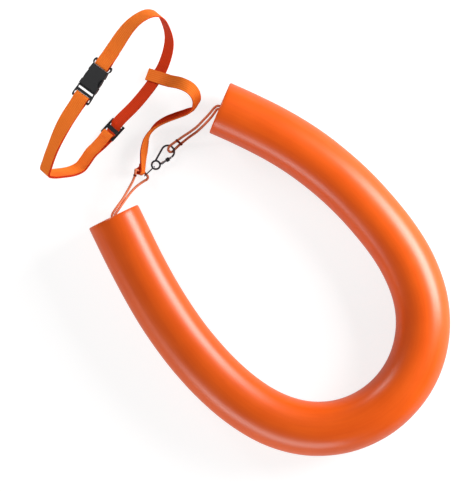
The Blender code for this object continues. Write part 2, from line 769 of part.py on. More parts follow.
def strap_bar(x, radius, reach):
    """A round bar across the webbing, centred at x."""
    bar = turned(((-reach, radius), (reach, radius)), WIRE_SIDES)
    bar.data.transform(Matrix.Translation((x, 0, 0)) @ Matrix.Rotation(pi / 2, 4, "Z"))
    return bar


def body_width():
    return WEBBING_WIDTH + BODY_REACH * 2


def prong_length():
    return RECEPTACLE_BODY - BUCKLE_WALL - PRONG_END_ROOM


def window():
    """Where the side windows start and end, behind the arms' catches."""
    return prong_length() * WINDOW_START_SHARE, prong_length() * WINDOW_END_SHARE


def side_scoop(side):
    """A cutter for the thumb's arc in one side of the receptacle."""
    start, close = window()
    half = (close - start) / 2
    radius = (half ** 2 + WINDOW_DEPTH ** 2) / (2 * WINDOW_DEPTH)
    sweep = pi / 2 - acos(min(1.0, half / radius))
    reach = body_width() / 2 + OVERRUN - WINDOW_DEPTH + radius
    centre = (start + half, side * reach, 0)
    middle = -side * pi / 2
    points = [(p.x, p.y) for p in arc(centre, radius, middle - sweep, middle + sweep, ARC_STEPS * 2)]
    outside = side * (body_width() + OVERRUN) / 2
    outside += side * WINDOW_DEPTH
    points += [(points[-1][0], outside), (points[0][0], outside)]
    return prism(points, -BUCKLE_THICKNESS, BUCKLE_THICKNESS)


def hollow():
    """A cutter for the inside of the receptacle with its two side windows."""
    inner = body_width() / 2 - BUCKLE_WALL
    outside = body_width() / 2 + OVERRUN
    end = body_width() / 2 * RECEPTACLE_SHARES[-1][1] - BUCKLE_WALL
    start, close = window()
    half = [(-OVERRUN, inner), (start, inner), (start, outside), (close, outside)]
    half += [(close, inner - BUCKLE_WALL / 3), (RECEPTACLE_BODY - BUCKLE_WALL, end)]
    low = -(BUCKLE_THICKNESS / 2 - BUCKLE_WALL)
    return prism(mirrored(half), low, -low)


def buckle_receptacle():
    """The female half: a flat box with two side windows and a strap bar."""
    shares = body_outline(0, RECEPTACLE_BODY, RECEPTACLE_SHARES)
    body = prism(shares, -BUCKLE_THICKNESS / 2, BUCKLE_THICKNESS / 2, BUCKLE_ROUNDING)
    bar_x = receptacle_bar_x()
    start = RECEPTACLE_BODY - STRAP_SLOT
    shares = ear_outline(start, bar_x + STRAP_BAR_RADIUS + CLEARANCE, EAR_SHARES)
    frame = prism(shares, -FRAME_THICKNESS / 2, FRAME_THICKNESS / 2, FRAME_ROUNDING)
    cut(frame, strap_hole(RECEPTACLE_BODY - OVERRUN, bar_x, bar_x + SEWN_TAIL))
    add(body, frame)
    add(body, strap_bar(bar_x, STRAP_BAR_RADIUS, bar_reach()))
    cut(body, hollow())
    for side in (-1, 1):
        cut(body, side_scoop(side))
    settle(body, "buckle_receptacle", "acetal", loop_place() @ buckle_in_loop())


def buckle_plug():
    """The male half without its arms: shoulder, tongue, free slot and two strap bars."""
    face = -CLEARANCE
    back = face - PLUG_SHOULDER
    inner = back - PLUG_FREE_SLOT - PLUG_INNER_BAR
    bar_x = plug_bar_x()
    free = WEBBING_WIDTH / 2 + PLUG_FREE_SLOT_SHARE * EAR_REACH
    wide = (body_width() - CLEARANCE) / 2
    body = block(back, face, -wide, wide, -BUCKLE_THICKNESS / 2, BUCKLE_THICKNESS / 2)
    soften(body, BUCKLE_ROUNDING)
    end = bar_x - STRAP_BAR_RADIUS - CLEARANCE
    shares = ear_outline(end, back + OVERRUN, PLUG_EAR_SHARES)
    frame = prism(shares, -FRAME_THICKNESS / 2, FRAME_THICKNESS / 2, FRAME_ROUNDING)
    deep = FRAME_THICKNESS
    cut(frame, block(inner + PLUG_INNER_BAR, back + OVERRUN * 2, -free, free, -deep, deep))
    cut(frame, strap_hole(inner, bar_x, bar_x - SEWN_TAIL))
    add(frame, strap_bar(bar_x, STRAP_BAR_RADIUS, bar_reach()))
    add(body, frame)
    half = TONGUE_WIDTH / 2
    thick = TONGUE_THICKNESS / 2
    reach = RECEPTACLE_BODY - BUCKLE_WALL - TONGUE_END_ROOM
    tongue = block(face - OVERRUN, reach, -half, half, -thick, thick)
    add(body, tongue)
    settle(body, "buckle_plug", "acetal", loop_place() @ buckle_in_loop())


def soften(item, width, steps=2):
    """Round every sharp edge of a simple shape."""
    bm = bmesh.new()
    bm.from_mesh(item.data)
    sharp = [e for e in bm.edges if e.calc_face_angle(0) > SHARP_ANGLE]
    bmesh.ops.bevel(bm, geom=sharp, offset=width, segments=steps, profile=0.5, affect="EDGES")
    bmesh.ops.recalc_face_normals(bm, faces=bm.faces)
    bm.to_mesh(item.data)
    bm.free()


def prongs():
    """The two spring arms, each turning about its root beside the tongue."""
    wide, length = body_width() / 2, prong_length()
    root_y = (PRONG_SHARES[0][1] + PRONG_SHARES[-1][1]) / 2 * wide
    for name, side in (("prong_left", -1), ("prong_right", 1)):
        points = [(x * length, side * (y * wide - root_y)) for x, y in PRONG_SHARES]
        item = prism(points, -PRONG_THICKNESS / 2, PRONG_THICKNESS / 2, CLEARANCE, 1)
        place = buckle_in_loop() @ Matrix.Translation((0, side * root_y, 0))
        settle(item, name, "acetal", loop_place() @ place)


# Slider
def slider():
    """Two rails, two round end bars and a flat middle plate."""
    inner = WEBBING_WIDTH / 2 + SLIDER_SIDE_ROOM
    outer = inner + SLIDER_RAIL
    half, thick = SLIDER_PLATE / 2, SLIDER_PLATE_THICKNESS / 2
    reach = inner + SLIDER_RAIL / 2
    body = block(-half, half, -reach, reach, -thick, thick)
    for x in (-SLIDER_BAR_REACH, SLIDER_BAR_REACH):
        add(body, strap_bar(x, SLIDER_BAR_RADIUS, reach))
    ends = SLIDER_BAR_REACH + SLIDER_BAR_RADIUS + SLIDER_END_WALL
    for low, high in ((-outer, -inner), (inner, outer)):
        rail = block(-ends, ends, low, high, -SLIDER_THICKNESS / 2, SLIDER_THICKNESS / 2)
        soften(rail, FRAME_ROUNDING)
        add(body, rail)
    settle(body, "slider", "acetal", loop_place() @ slider_in_loop())


# Snap hook
def hook_place():
    return Matrix.Translation((HOOK_X, HOOK_Y, HOOK_Z)) @ Matrix.Rotation(HOOK_HEADING, 4, "Z")


def polar(centre_x, centre_y, radius, angle):
    return Vector((centre_x + radius * cos(angle), centre_y + radius * sin(angle), 0))


def gate_pivot():
    return polar(HOOK_EYE_X, HOOK_EYE_Y, HOOK_EYE_RADIUS + HOOK_LUG_REACH, HOOK_LUG_ANGLE)


def nose_end():
    return polar(HOOK_BOW_X, 0, HOOK_BOW_RADIUS, HOOK_NOSE_ANGLE)


def gate_angle():
    step = nose_end() - gate_pivot()
    return atan2(step.y, step.x)


def gate_length():
    return (nose_end() - gate_pivot()).length - GATE_NOSE_GAP


def hook_swing_spot():
    """Where the hook's link hangs in the left bight, in the hook's own frame."""
    wire = Vector((HOOK_EYE_X - HOOK_EYE_RADIUS, HOOK_EYE_Y, 0))
    return wire + Vector((cos(LINK_ANGLE), sin(LINK_ANGLE), 0)) * LINK_REACH


def hook_body():
    """Eye, spine, bow and nose of round wire, with the flat lug that carries the gate."""
    eye_centre = (HOOK_EYE_X, HOOK_EYE_Y, 0)
    around = arc(eye_centre, HOOK_EYE_RADIUS, 0, 2 * pi, ARC_STEPS * 4)[:-1]
    body = tube(around, HOOK_WIRE / 2, closed=True)
    spine = [polar(HOOK_EYE_X, HOOK_EYE_Y, HOOK_EYE_RADIUS, HOOK_SPINE_ANGLE)]
    bow_start = pi / 2 + HOOK_SPINE_LEAN
    spine += arc((HOOK_BOW_X, 0, 0), HOOK_BOW_RADIUS, bow_start, HOOK_NOSE_ANGLE, ARC_STEPS * 3)
    add(body, tube(spine, HOOK_WIRE / 2))
    add(body, lug())
    move = Matrix.Translation(-hook_swing_spot())
    body.data.transform(move)
    place = hook_place() @ Matrix.Translation(hook_swing_spot())
    settle(body, "hook_body", "steel", place)


def lug():
    """The flat lug from the eye to the gate's pivot, with the rivet's hole."""
    root = polar(HOOK_EYE_X, HOOK_EYE_Y, HOOK_EYE_RADIUS, HOOK_LUG_ANGLE)
    pivot = gate_pivot()
    along = (pivot - root).normalized()
    side = Vector((-along.y, along.x, 0)) * (HOOK_WIRE / 2)
    angle = atan2(along.y, along.x)
    points = [root + side] + list(reversed(arc(pivot, HOOK_WIRE / 2, angle - pi / 2, angle + pi / 2)))
    points.append(root - side)
    plate = prism([(p.x, p.y) for p in points], -HOOK_LUG_THICKNESS / 2, HOOK_LUG_THICKNESS / 2)
    return cut(plate, upright(pivot, GATE_PIN_DIAMETER / 2 + GATE_PIN_ROOM, HOOK_WIRE))


def upright(spot, radius, reach, sides=WIRE_SIDES):
    """A round bar square to the hook's plane."""
    bar = turned(((-reach, radius), (reach, radius)), sides)
    bar.data.transform(Matrix.Translation(spot) @ Matrix.Rotation(pi / 2, 4, "Y"))
    return bar


def gate_place():
    place = hook_place() @ Matrix.Translation(gate_pivot())
    return place @ Matrix.Rotation(gate_angle(), 4, "Z")


def hook_gate():
    """A round bar with a fork at the pivot and a small bore for its spring."""
    radius, collar = GATE_DIAMETER / 2, GATE_COLLAR_DIAMETER / 2
    start = -radius
    profile = ((start, radius), (start + CLEARANCE, collar), (GATE_COLLAR_LENGTH, collar),
               (GATE_COLLAR_LENGTH + CLEARANCE, radius), (gate_length(), radius))
    body = turned(profile, WIRE_SIDES * 2)
    wide = collar + OVERRUN
    slot_end = GATE_FORK_DEPTH + start
    gap = GATE_FORK_GAP / 2
    cut(body, block(start - OVERRUN, slot_end, -wide, wide, -gap, gap))
    bore = GATE_BORE / 2
    cut(body, turned(((slot_end - OVERRUN, bore), (slot_end + GATE_BORE_DEPTH, bore)), WIRE_SIDES))
    cut(body, upright((0, 0, 0), GATE_PIN_DIAMETER / 2 + GATE_PIN_ROOM, wide))
    settle(body, "hook_gate", "steel", gate_place())


def gate_pin():
    """The rivet through fork and lug, with a flat head at each end."""
    radius, head = GATE_PIN_DIAMETER / 2, GATE_PIN_HEAD / 2
    inner = GATE_COLLAR_DIAMETER / 2 + GATE_PIN_ROOM
    outer = inner + GATE_PIN_DIAMETER / 2
    profile = ((-outer, head), (-inner, head), (-inner, radius),
               (inner, radius), (inner, head), (outer, head))
    pin = turned(profile, WIRE_SIDES)
    pin.data.transform(Matrix.Rotation(pi / 2, 4, "Y"))
    settle(pin, "gate_pin", "steel", gate_place())


def gate_spring():
    """A small coil in the gate's bore, as one unbroken wire."""
    start = GATE_FORK_DEPTH - GATE_DIAMETER / 2 + CLEARANCE
    length = GATE_BORE_DEPTH - CLEARANCE * 2 - SPRING_WIRE
    radius = GATE_BORE / 2 - SPRING_WIRE / 2 - GATE_PIN_ROOM
    count = SPRING_TURNS * SPRING_CURL_POINTS
    route = []
    for i in range(count + 1):
        turn = 2 * pi * SPRING_TURNS * i / count
        along = start + SPRING_WIRE / 2 + length * i / count
        route.append((along, radius * cos(turn), radius * sin(turn)))
    coil = cord("gate_spring", route, "spring_steel", SPRING_WIRE, 1)
    coil.matrix_world = gate_place()
    pitch = length / SPRING_TURNS
    print("gate_spring: least gap between turns", round(pitch - SPRING_WIRE, 5), "m")


def gate_sleeve():
    """A fluted nut that slides on the gate."""
    half, outer = SLEEVE_LENGTH / 2, SLEEVE_DIAMETER / 2
    edge = outer * SLEEVE_FLUTE_SHARE
    rims = ((-half, edge), (-half + CLEARANCE, outer), (half - CLEARANCE, outer), (half, edge))
    body = turned(rims, SLEEVE_FLUTES * 2, (1.0, SLEEVE_FLUTE_SHARE))
    bore = GATE_DIAMETER / 2 + CLEARANCE
    cut(body, turned(((-half - OVERRUN, bore), (half + OVERRUN, bore)), WIRE_SIDES * 2))
    along = Matrix.Translation((gate_length() * SLEEVE_PLACE_SHARE, 0, 0))
    settle(body, "gate_sleeve", "dark_steel", gate_place() @ along)


def hook_link():
    """An upright oblong ring of wire through the hook's eye and the left bight."""
    end = LINK_HEIGHT / 2
    near = -(HOOK_WIRE / 2 + CLEARANCE + LINK_WIRE / 2) + end
    far = LINK_REACH + CORD_DIAMETER / 2 + CLEARANCE + LINK_WIRE / 2 - end
    path = arc((far, 0, 0), end, -pi / 2, pi / 2, ARC_STEPS * 2)
    path += arc((near, 0, 0), end, pi / 2, pi * 3 / 2, ARC_STEPS * 2)
    ring = tube(path, LINK_WIRE / 2, closed=True)
    ring.data.transform(Matrix.Translation((-LINK_REACH, 0, 0)))
    place = hook_place() @ Matrix.Translation(hook_swing_spot())
    place = place @ Matrix.Rotation(LINK_ANGLE, 4, "Z") @ Matrix.Rotation(pi / 2, 4, "X")
    settle(ring, "hook_link", "steel", place)


def main():
    clear_scene()
    foam_tube()
    bore_cords()
    bights()
    belt_strap()
    buckle_receptacle()
    buckle_plug()
    prongs()
    slider()
    tether_strap()
    hook_body()
    hook_link()
    hook_gate()
    gate_pin()
    gate_spring()
    gate_sleeve()


main()
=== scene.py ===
"""The look of the foam swim belt: smooth foam stick, woven webbing, braided cord,
moulded buckle and slider, plated snap hook, on a pale floor seen from straight above."""

from math import cos, pi, radians, sin, sqrt

import bmesh
import bpy
from mathutils import Matrix, Vector, noise


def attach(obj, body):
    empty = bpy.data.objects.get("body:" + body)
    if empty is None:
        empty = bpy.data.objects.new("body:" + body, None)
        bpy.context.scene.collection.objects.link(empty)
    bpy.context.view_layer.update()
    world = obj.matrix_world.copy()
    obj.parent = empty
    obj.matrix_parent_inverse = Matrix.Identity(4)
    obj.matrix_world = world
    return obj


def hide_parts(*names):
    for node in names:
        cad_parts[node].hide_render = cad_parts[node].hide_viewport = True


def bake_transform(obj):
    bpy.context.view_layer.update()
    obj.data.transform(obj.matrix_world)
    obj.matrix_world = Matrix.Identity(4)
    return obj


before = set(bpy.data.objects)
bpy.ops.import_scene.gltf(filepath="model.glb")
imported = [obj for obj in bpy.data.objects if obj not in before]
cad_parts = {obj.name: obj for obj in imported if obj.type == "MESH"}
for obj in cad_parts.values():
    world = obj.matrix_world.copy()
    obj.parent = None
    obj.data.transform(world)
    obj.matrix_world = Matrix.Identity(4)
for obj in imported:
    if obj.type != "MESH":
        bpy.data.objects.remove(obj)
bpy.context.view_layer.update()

MM = 0.001
UP = Vector((0, 0, 1))

# Camera: straight above, where one pixel of the photograph is 1.285 mm
VIEW_CENTRE_X = -0.0153
VIEW_CENTRE_Y = -0.0181
VIEW_HEIGHT = 0.6322
CAMERA_DISTANCE = 6.0
CAMERA_TARGET_Z = 0.035
CAMERA_REACH = 100.0
SENSOR_HEIGHT_MM = 24.0

# Foam stick, on the solid's axis and resting on the solid's lowest facet
FOAM_LENGTH = 1.010
FOAM_DIAMETER = 0.070
FOAM_BORE = 0.0085
FOAM_START_X = -0.16845
FOAM_START_Y = 0.01985
FOAM_START_HEADING = radians(-64.0)
FOAM_BEND = radians(221.1)
FOAM_BEND_SHARES = (-0.03, 0.221, 0.324, 0.991, 1.0, 0.917, 0.244, 0.331, 0.106)
FOAM_SOLID_SIDES = 32
FOAM_SKIN_SIDES = 64
FOAM_BORE_SIDES = 16
FOAM_RINGS = 168
FOAM_STEPS_PER_RING = 4
FOAM_EDGE_ROUNDING = 1.6 * MM
FOAM_WAVE = 0.25 * MM
FOAM_WAVES_PER_METRE = 22.0

# Cord
CORD_DIAMETER = 0.0032
CORD_STRAND_OFFSET = 0.0021
CORD_INSET = 1.3 * MM
CORD_STEP = 0.0008
CORD_SIDES = 16
BORE_STRAND_RINGS = 112
BORE_STRAND_SIDES = 14
BRAID_PITCH = 0.0064
BRAID_LOBES = 4
BRAID_DEPTH = 0.07
LEFT_BIGHT_LENGTH = 0.1775
RIGHT_BIGHT_LENGTH = 0.1943

# Route of each bight, from one strand's seat in the bore to the other's
LEFT_BIGHT_ROUTE = (
    (-0.1699, 0.0181, 0.0348), (-0.1702, 0.0196, 0.0348), (-0.1700, 0.0220, 0.0346),
    (-0.1681, 0.0259, 0.0337), (-0.1637, 0.0324, 0.0318), (-0.1570, 0.0418, 0.0280),
    (-0.1489, 0.0558, 0.0234), (-0.1436, 0.0659, 0.0216), (-0.1409, 0.0730, 0.0226),
    (-0.1402, 0.0780, 0.0236), (-0.1401, 0.0803, 0.0226), (-0.1396, 0.0800, 0.0213),
    (-0.1373, 0.0795, 0.0180), (-0.1348, 0.0788, 0.0138), (-0.1321, 0.0780, 0.0096),
    (-0.1300, 0.0775, 0.0064), (-0.1280, 0.0755, 0.0053), (-0.1268, 0.0742, 0.0052),
    (-0.1253, 0.0727, 0.0050), (-0.1245, 0.0704, 0.0047), (-0.1258, 0.0680, 0.0044),
    (-0.1293, 0.0659, 0.0044), (-0.1344, 0.0625, 0.0059), (-0.1402, 0.0578, 0.0097),
    (-0.1465, 0.0510, 0.0148), (-0.1538, 0.0408, 0.0232), (-0.1600, 0.0316, 0.0298),
    (-0.1636, 0.0262, 0.0331), (-0.1655, 0.0232, 0.0344), (-0.1664, 0.0212, 0.0348),
    (-0.1661, 0.0198, 0.0348),
)
RIGHT_BIGHT_ROUTE = (
    (-0.0301, 0.1610, 0.0348), (-0.0313, 0.1616, 0.0348), (-0.0348, 0.1619, 0.0347),
    (-0.0386, 0.1595, 0.0339), (-0.0442, 0.1529, 0.0310), (-0.0527, 0.1440, 0.0262),
    (-0.0610, 0.1357, 0.0210), (-0.0697, 0.1292, 0.0164), (-0.0780, 0.1239, 0.0128),
    (-0.0867, 0.1179, 0.0099), (-0.0950, 0.1120, 0.0088), (-0.0975, 0.1095, 0.0083),
    (-0.0983, 0.1064, 0.0064), (-0.0972, 0.1043, 0.0054), (-0.0951, 0.1032, 0.0044),
    (-0.0922, 0.1042, 0.0024), (-0.0903, 0.1064, 0.0022), (-0.0863, 0.1103, 0.0024),
    (-0.0800, 0.1155, 0.0041), (-0.0719, 0.1219, 0.0088), (-0.0617, 0.1289, 0.0156),
    (-0.0517, 0.1379, 0.0236), (-0.0420, 0.1483, 0.0310), (-0.0372, 0.1549, 0.0340),
    (-0.0352, 0.1575, 0.0347), (-0.0330, 0.1578, 0.0348), (-0.0316, 0.1573, 0.0348),
)

# Whippings: turns of dark thread round one strand of the left bight and both of the right one. The left one
# is a painted shadow beside the tether's end
WHIPPING_RADIUS = 0.0004
WHIPPING_TURNS = 3
WHIPPING_STEPS = 20
WHIPPING_SIDES = 6
WHIPPING_SINK_SHARE = 0.7
WHIPPING_PITCH_SHARE = 1.9
WHIPPING_SQUARENESS = 3
LEFT_SHADOW_WHIPPING = ((-0.1397, 0.0728, 0.0226),)
RIGHT_WHIPPING = ((-0.0845, 0.1195, 0.0107), (-0.0845, 0.1122, 0.0026))

# Webbing and the belt's loop, as in the solids
WEBBING_WIDTH = 0.020
WEBBING_THICKNESS = 0.0015
CLEARANCE = 0.0003
LAYER = WEBBING_THICKNESS + CLEARANCE
LOOP_CENTRE_X = -0.17915
LOOP_CENTRE_Y = 0.17595
LOOP_CENTRE_Z = 0.0516
LOOP_HEADING = radians(48.7)
LOOP_LEAN = radians(48.7)
LOOP_LENGTH = 0.250
LOOP_DEPTH = 0.116
SEWN_TAIL = 0.022
UPPER_RUN_SHARES = (
    (0.225, 0.380), (0.285, 0.406), (0.343, 0.417), (0.402, 0.395), (0.461, 0.318), (0.489, 0.185),
    (0.467, -0.041), (0.428, -0.207), (0.367, -0.330), (0.296, -0.415), (0.246, -0.442),
    (0.196, -0.462), (0.112, -0.477), (0.040, -0.475),
)
LOWER_RUN_SHARES = (
    (-0.272, -0.461), (-0.322, -0.479), (-0.364, -0.484), (-0.408, -0.427), (-0.458, -0.299),
    (-0.496, -0.177), (-0.505, -0.103), (-0.458, -0.030), (-0.395, 0.048), (-0.315, 0.128),
    (-0.230, 0.190),
)

# Points of the runs: the upper one's inside the tether's loop, the lower one's at the corner
JUNCTION_INDEX = 10
CORNER_INDEX = 6

# Half of the webbing's section: shares of the half width and half thickness, thick selvages
FACE_SHARE = 0.84
SELVAGE_FACES = 2
SECTION_SHARES = (
    (1.0, 0.0), (0.992, 0.62), (0.968, 0.95), (0.93, 1.0), (0.88, 0.86), (0.45, FACE_SHARE),
    (0.0, FACE_SHARE), (-0.45, FACE_SHARE), (-0.88, 0.86), (-0.93, 1.0), (-0.968, 0.95),
    (-0.992, 0.62),
)

# The section's two sides, of which one is the bright face and the other is painted shade
OVER, UNDER = 0, 1

# Cups smaller than this are drawn flat, and a cord steeper than this takes its side from X
FLAT_LIMIT = 0.001
UPRIGHT_LIMIT = 0.1

# Buckle, in its own frame: the bars that carry the webbing, and the webbing's twist to it
BUCKLE_X_SHARE = -0.0336
BUCKLE_Y_SHARE = 0.2716
BUCKLE_ANGLE = radians(10.9)
BUCKLE_ROLL = radians(26.0)
TWIST_REACH = 0.060
STRAP_SLOT = 0.0052
PLUG_STRAP_SLOT = 0.0060
STRAP_BAR_RADIUS = 0.0016
STRAP_TURN_RADIUS = STRAP_BAR_RADIUS + CLEARANCE + WEBBING_THICKNESS / 2
RECEPTACLE_BAR_X = 0.0376
PLUG_BAR_X = -0.0165

# Slider, in its own frame, and how far along and how high the webbing's way through it goes
SLIDER_X_SHARE = -0.107
SLIDER_Y_SHARE = -0.470
SLIDER_ANGLE = radians(-1.6)
SLIDER_BAR_RADIUS = 0.0009
SLIDER_BAR_REACH = 0.0106
SLIDER_PLATE = 0.0056
SLIDER_PLATE_THICKNESS = 0.0016
SLIDER_FOLD_SLACK = 0.0024
SLIDER_OVER = SLIDER_BAR_RADIUS + CLEARANCE + WEBBING_THICKNESS / 2
SLIDER_UNDER = -(SLIDER_PLATE_THICKNESS / 2 + CLEARANCE + WEBBING_THICKNESS / 2)
WEAVE_FAR_SHARES = (0.28, 0.80)
WEAVE_NEAR_SHARES = (0.22, 0.75)
WEAVE_OUT_SHARES = ((0.30, 0.88), (0.55, 1.0), (1.0, 1.0))
WEAVE_TAIL_SHARES = ((0.25, 1.6), (0.5, 1.5), (1.0, 0.5))

# Steps along the belt, and the places where its pieces part and change bodies, measured
# from the slider's middle and from the plug's bar
WEBBING_STEP = 0.0025
FOLD_STEP = 0.0015
FOOT_STEP = 0.0012
LEAST_STEP = 0.0004
TURN_STEPS = 10
UPPER_PART = 0.034
LOWER_PART = 0.042

# Tether: on the solid's route, but cupped along its turn, gathered at the cord and shorter-tailed
TETHER_WIDTH = 0.016
TETHER_END = Vector((-0.13475, 0.07875, 0.0138))
TETHER_CROSSING = radians(17.0)
TETHER_FOLD_REACH = 0.0130
TETHER_LOOP_REACH = 0.0260
TETHER_TAIL = 0.009
TETHER_REACH = 0.110
TETHER_SHARES = (
    (0.482, 1.018, 0.215), (0.592, 0.962, 0.232), (0.654, 0.885, 0.200), (0.671, 0.802, 0.147),
    (0.641, 0.718, 0.090), (0.565, 0.671, 0.045), (0.436, 0.624, 0.006), (0.325, 0.582, -0.021),
    (0.220, 0.524, -0.030), (0.138, 0.452, -0.028), (0.081, 0.346, -0.022), (0.046, 0.220, -0.010),
)
TETHER_EDGE_SHARES = (
    (0.36, 0.93, -0.05), (0.50, 0.84, -0.20), (0.64, 0.62, -0.45), (0.63, 0.30, -0.72),
    (0.38, 0.33, -0.86), (0.08, 0.58, -0.80), (-0.02, 0.66, -0.75), (-0.10, 0.60, -0.79),
    (-0.10, 0.38, -0.92), (0.05, 0.04, -1.00), (0.46, -0.20, -0.86), (0.68, -0.22, -0.70),
)
TETHER_CUPS = (0.0, 0.0, 0.0, -0.15, -0.7, -1.3, -1.55, -1.55, -1.4, -1.0, -0.5, 0.0)
TETHER_GATHERS = (1.0,) * 10 + (0.95, 0.78)
TETHER_END_GATHER = 0.52
TETHER_END_EDGE_SHARE = (0.55, -0.03, -0.835)
TETHER_LOOP_ROOM = 0.0018
TETHER_EYE_ROOM = 0.0010
TETHER_LOOP_RADIUS = WEBBING_THICKNESS + TETHER_LOOP_ROOM
TETHER_END_THICKNESS = WEBBING_THICKNESS / TETHER_END_GATHER
TETHER_EYE_RADIUS = CORD_DIAMETER / 2 + TETHER_EYE_ROOM + TETHER_END_THICKNESS / 2

# Stitches, and the distances of their rows from each end of a sewn length
STITCH_LENGTH = 2.0 * MM
STITCH_GAP = 0.9 * MM
STITCH_RADIUS = 0.32 * MM
STITCH_RISE = 0.08 * MM
STITCH_LIFT = WEBBING_THICKNESS / 2 * FACE_SHARE + STITCH_RISE
STITCH_SIDES = 6
STITCH_SHARES = ((0.0, 0.35), (0.15, 0.85), (0.5, 1.0), (0.85, 0.85), (1.0, 0.35))
STITCH_SIDE_HINT = Vector((0.3, 0.2, 0.9))
ROW_REACH_SHARE = 0.42
TAIL_ROWS = (0.004, 0.015)
EYE_ROWS = (0.007, 0.018)
SLIDER_ROWS = (0.0125, 0.0175)
TETHER_LOOP_ROWS = (0.0015, 0.009)
TETHER_END_ROWS = (0.008, 0.004)

# Edges sharper than this stay sharp in the shading
SHARP_ANGLE = radians(50)

# Patterns. The real foam's cells, the webbing's and cord's yarns, the thread's twist and the
# moulding's grain are too fine to show in the render, so they are drawn as coarse as they need to be
FOAM_STREAK_WIDTH = 4 * MM
FOAM_STREAK_LENGTH = 60 * MM
FOAM_CLOUD = 45 * MM
FOAM_CELL = 1.1 * MM
FOAM_CELL_DEPTH = 0.12 * MM
CUT_CELL = 1.3 * MM
CUT_CELL_DEPTH = 0.4 * MM
WEBBING_RIB = 1.6 * MM
WEBBING_ROW = 2.5 * MM
CORD_RIB = 1.6 * MM
CORD_ROW = 1.25 * MM
THREAD_TWIST = 0.6 * MM
WEAVE_DEPTH = 0.25 * MM
FIBRE = 0.5 * MM
ACETAL_GRAIN = 0.4 * MM
ACETAL_GRAIN_DEPTH = 0.08 * MM
HANDLING_MARK = 2.5 * MM

# Colours as the eye sees them under plain light
FOAM_ORANGE = "#F05F04"
FOAM_ORANGE_DEEP = "#E65502"
FOAM_CUT = "#EE7430"
FACE_THREAD = "#FF9434"
FACE_GAP = "#F86614"
# The webbing's back and selvages: the nylon darkened, as painted shade
SHADED_BACK_THREAD = "#E64204"
SHADED_BACK_GAP = "#C62E00"
CORD_THREAD = "#FFA078"
CORD_GAP = "#D66C44"
STITCH_THREAD = "#FF9A4A"
# Dark whipping thread; at the left bight it is a painted shadow
WHIPPING_AND_SHADOW_THREAD = "#8E2A10"
ACETAL_BLACK = "#1F1F21"
NICKEL = "#C4C6CB"
# The hook's wire and link: the plating darkened, as a painted dark reflection
WIRE_PAINTED_DARK = "#74767C"
DARK_NICKEL = "#4A494C"
FLOOR_GREY = "#AAAAAA"
STUDIO_WHITE = "#FFFFFF"

# Floor, and the lamps: name, place, aim, size or none for a spot, and watts
FLOOR_REACH = 5.0
FLOOR_DROP = 0.2 * MM
FLOOR_GLOW = 0.78
FLOOR_GLOSSY_SHARE = 0.5
STUDIO_GLOW = 0.15
SPOT_ANGLE = radians(36)
SPOT_BLEND = 0.9
SPOT_RADIUS = 0.15
LAMPS = (
    ("right_softbox", (1.15, 0.42, 0.68), (0, 0, 0), (0.95, 0.55), 22.0),
    ("low_right_softbox", (1.30, 0.47, 0.38), (0, 0, 0.02), (1.1, 0.22), 11.0),
    ("lower_left_softbox", (-0.38, -1.45, 0.42), (0, 0, 0), (1.6, 0.5), 12.5),
    ("low_left_softbox", (-0.95, -0.85, 0.20), (-0.1, 0.0, 0.03), (0.8, 0.2), 1.2),
    ("belt_spot", (-0.70, 0.64, 0.44), (-0.185, 0.165, 0.05), None, 18.5),
)

# Places of a Mix node's colour sockets, whose names stand for other sockets too
FIRST_COLOUR, SECOND_COLOUR, MIXED_COLOUR = 6, 7, 2


def linear(code):
    """An sRGB hex colour as linear RGBA."""
    values = [int(code[i:i + 2], 16) / 255.0 for i in (1, 3, 5)]
    return [v / 12.92 if v <= 0.04045 else ((v + 0.055) / 1.055) ** 2.4 for v in values] + [1.0]


def node(tree, kind, settings=None, links=None):
    """Add a node, set its properties and inputs, and link other nodes' sockets to it."""
    item = tree.nodes.new(kind)
    for key, value in (settings or {}).items():
        if isinstance(key, int) or key in item.inputs:
            item.inputs[key].default_value = value
        else:
            setattr(item, key, value)
    for key, source in (links or {}).items():
        tree.links.new(source, item.inputs[key])
    return item


def blank_material(name):
    """A new material with its node tree and its shader."""
    material = bpy.data.materials.new(name)
    material.use_nodes = True
    tree = material.node_tree
    return material, tree, tree.nodes["Principled BSDF"]


def wave_scale(pitch):
    """The Wave Texture's scale that repeats at this pitch in metres."""
    return pi / 10 / pitch


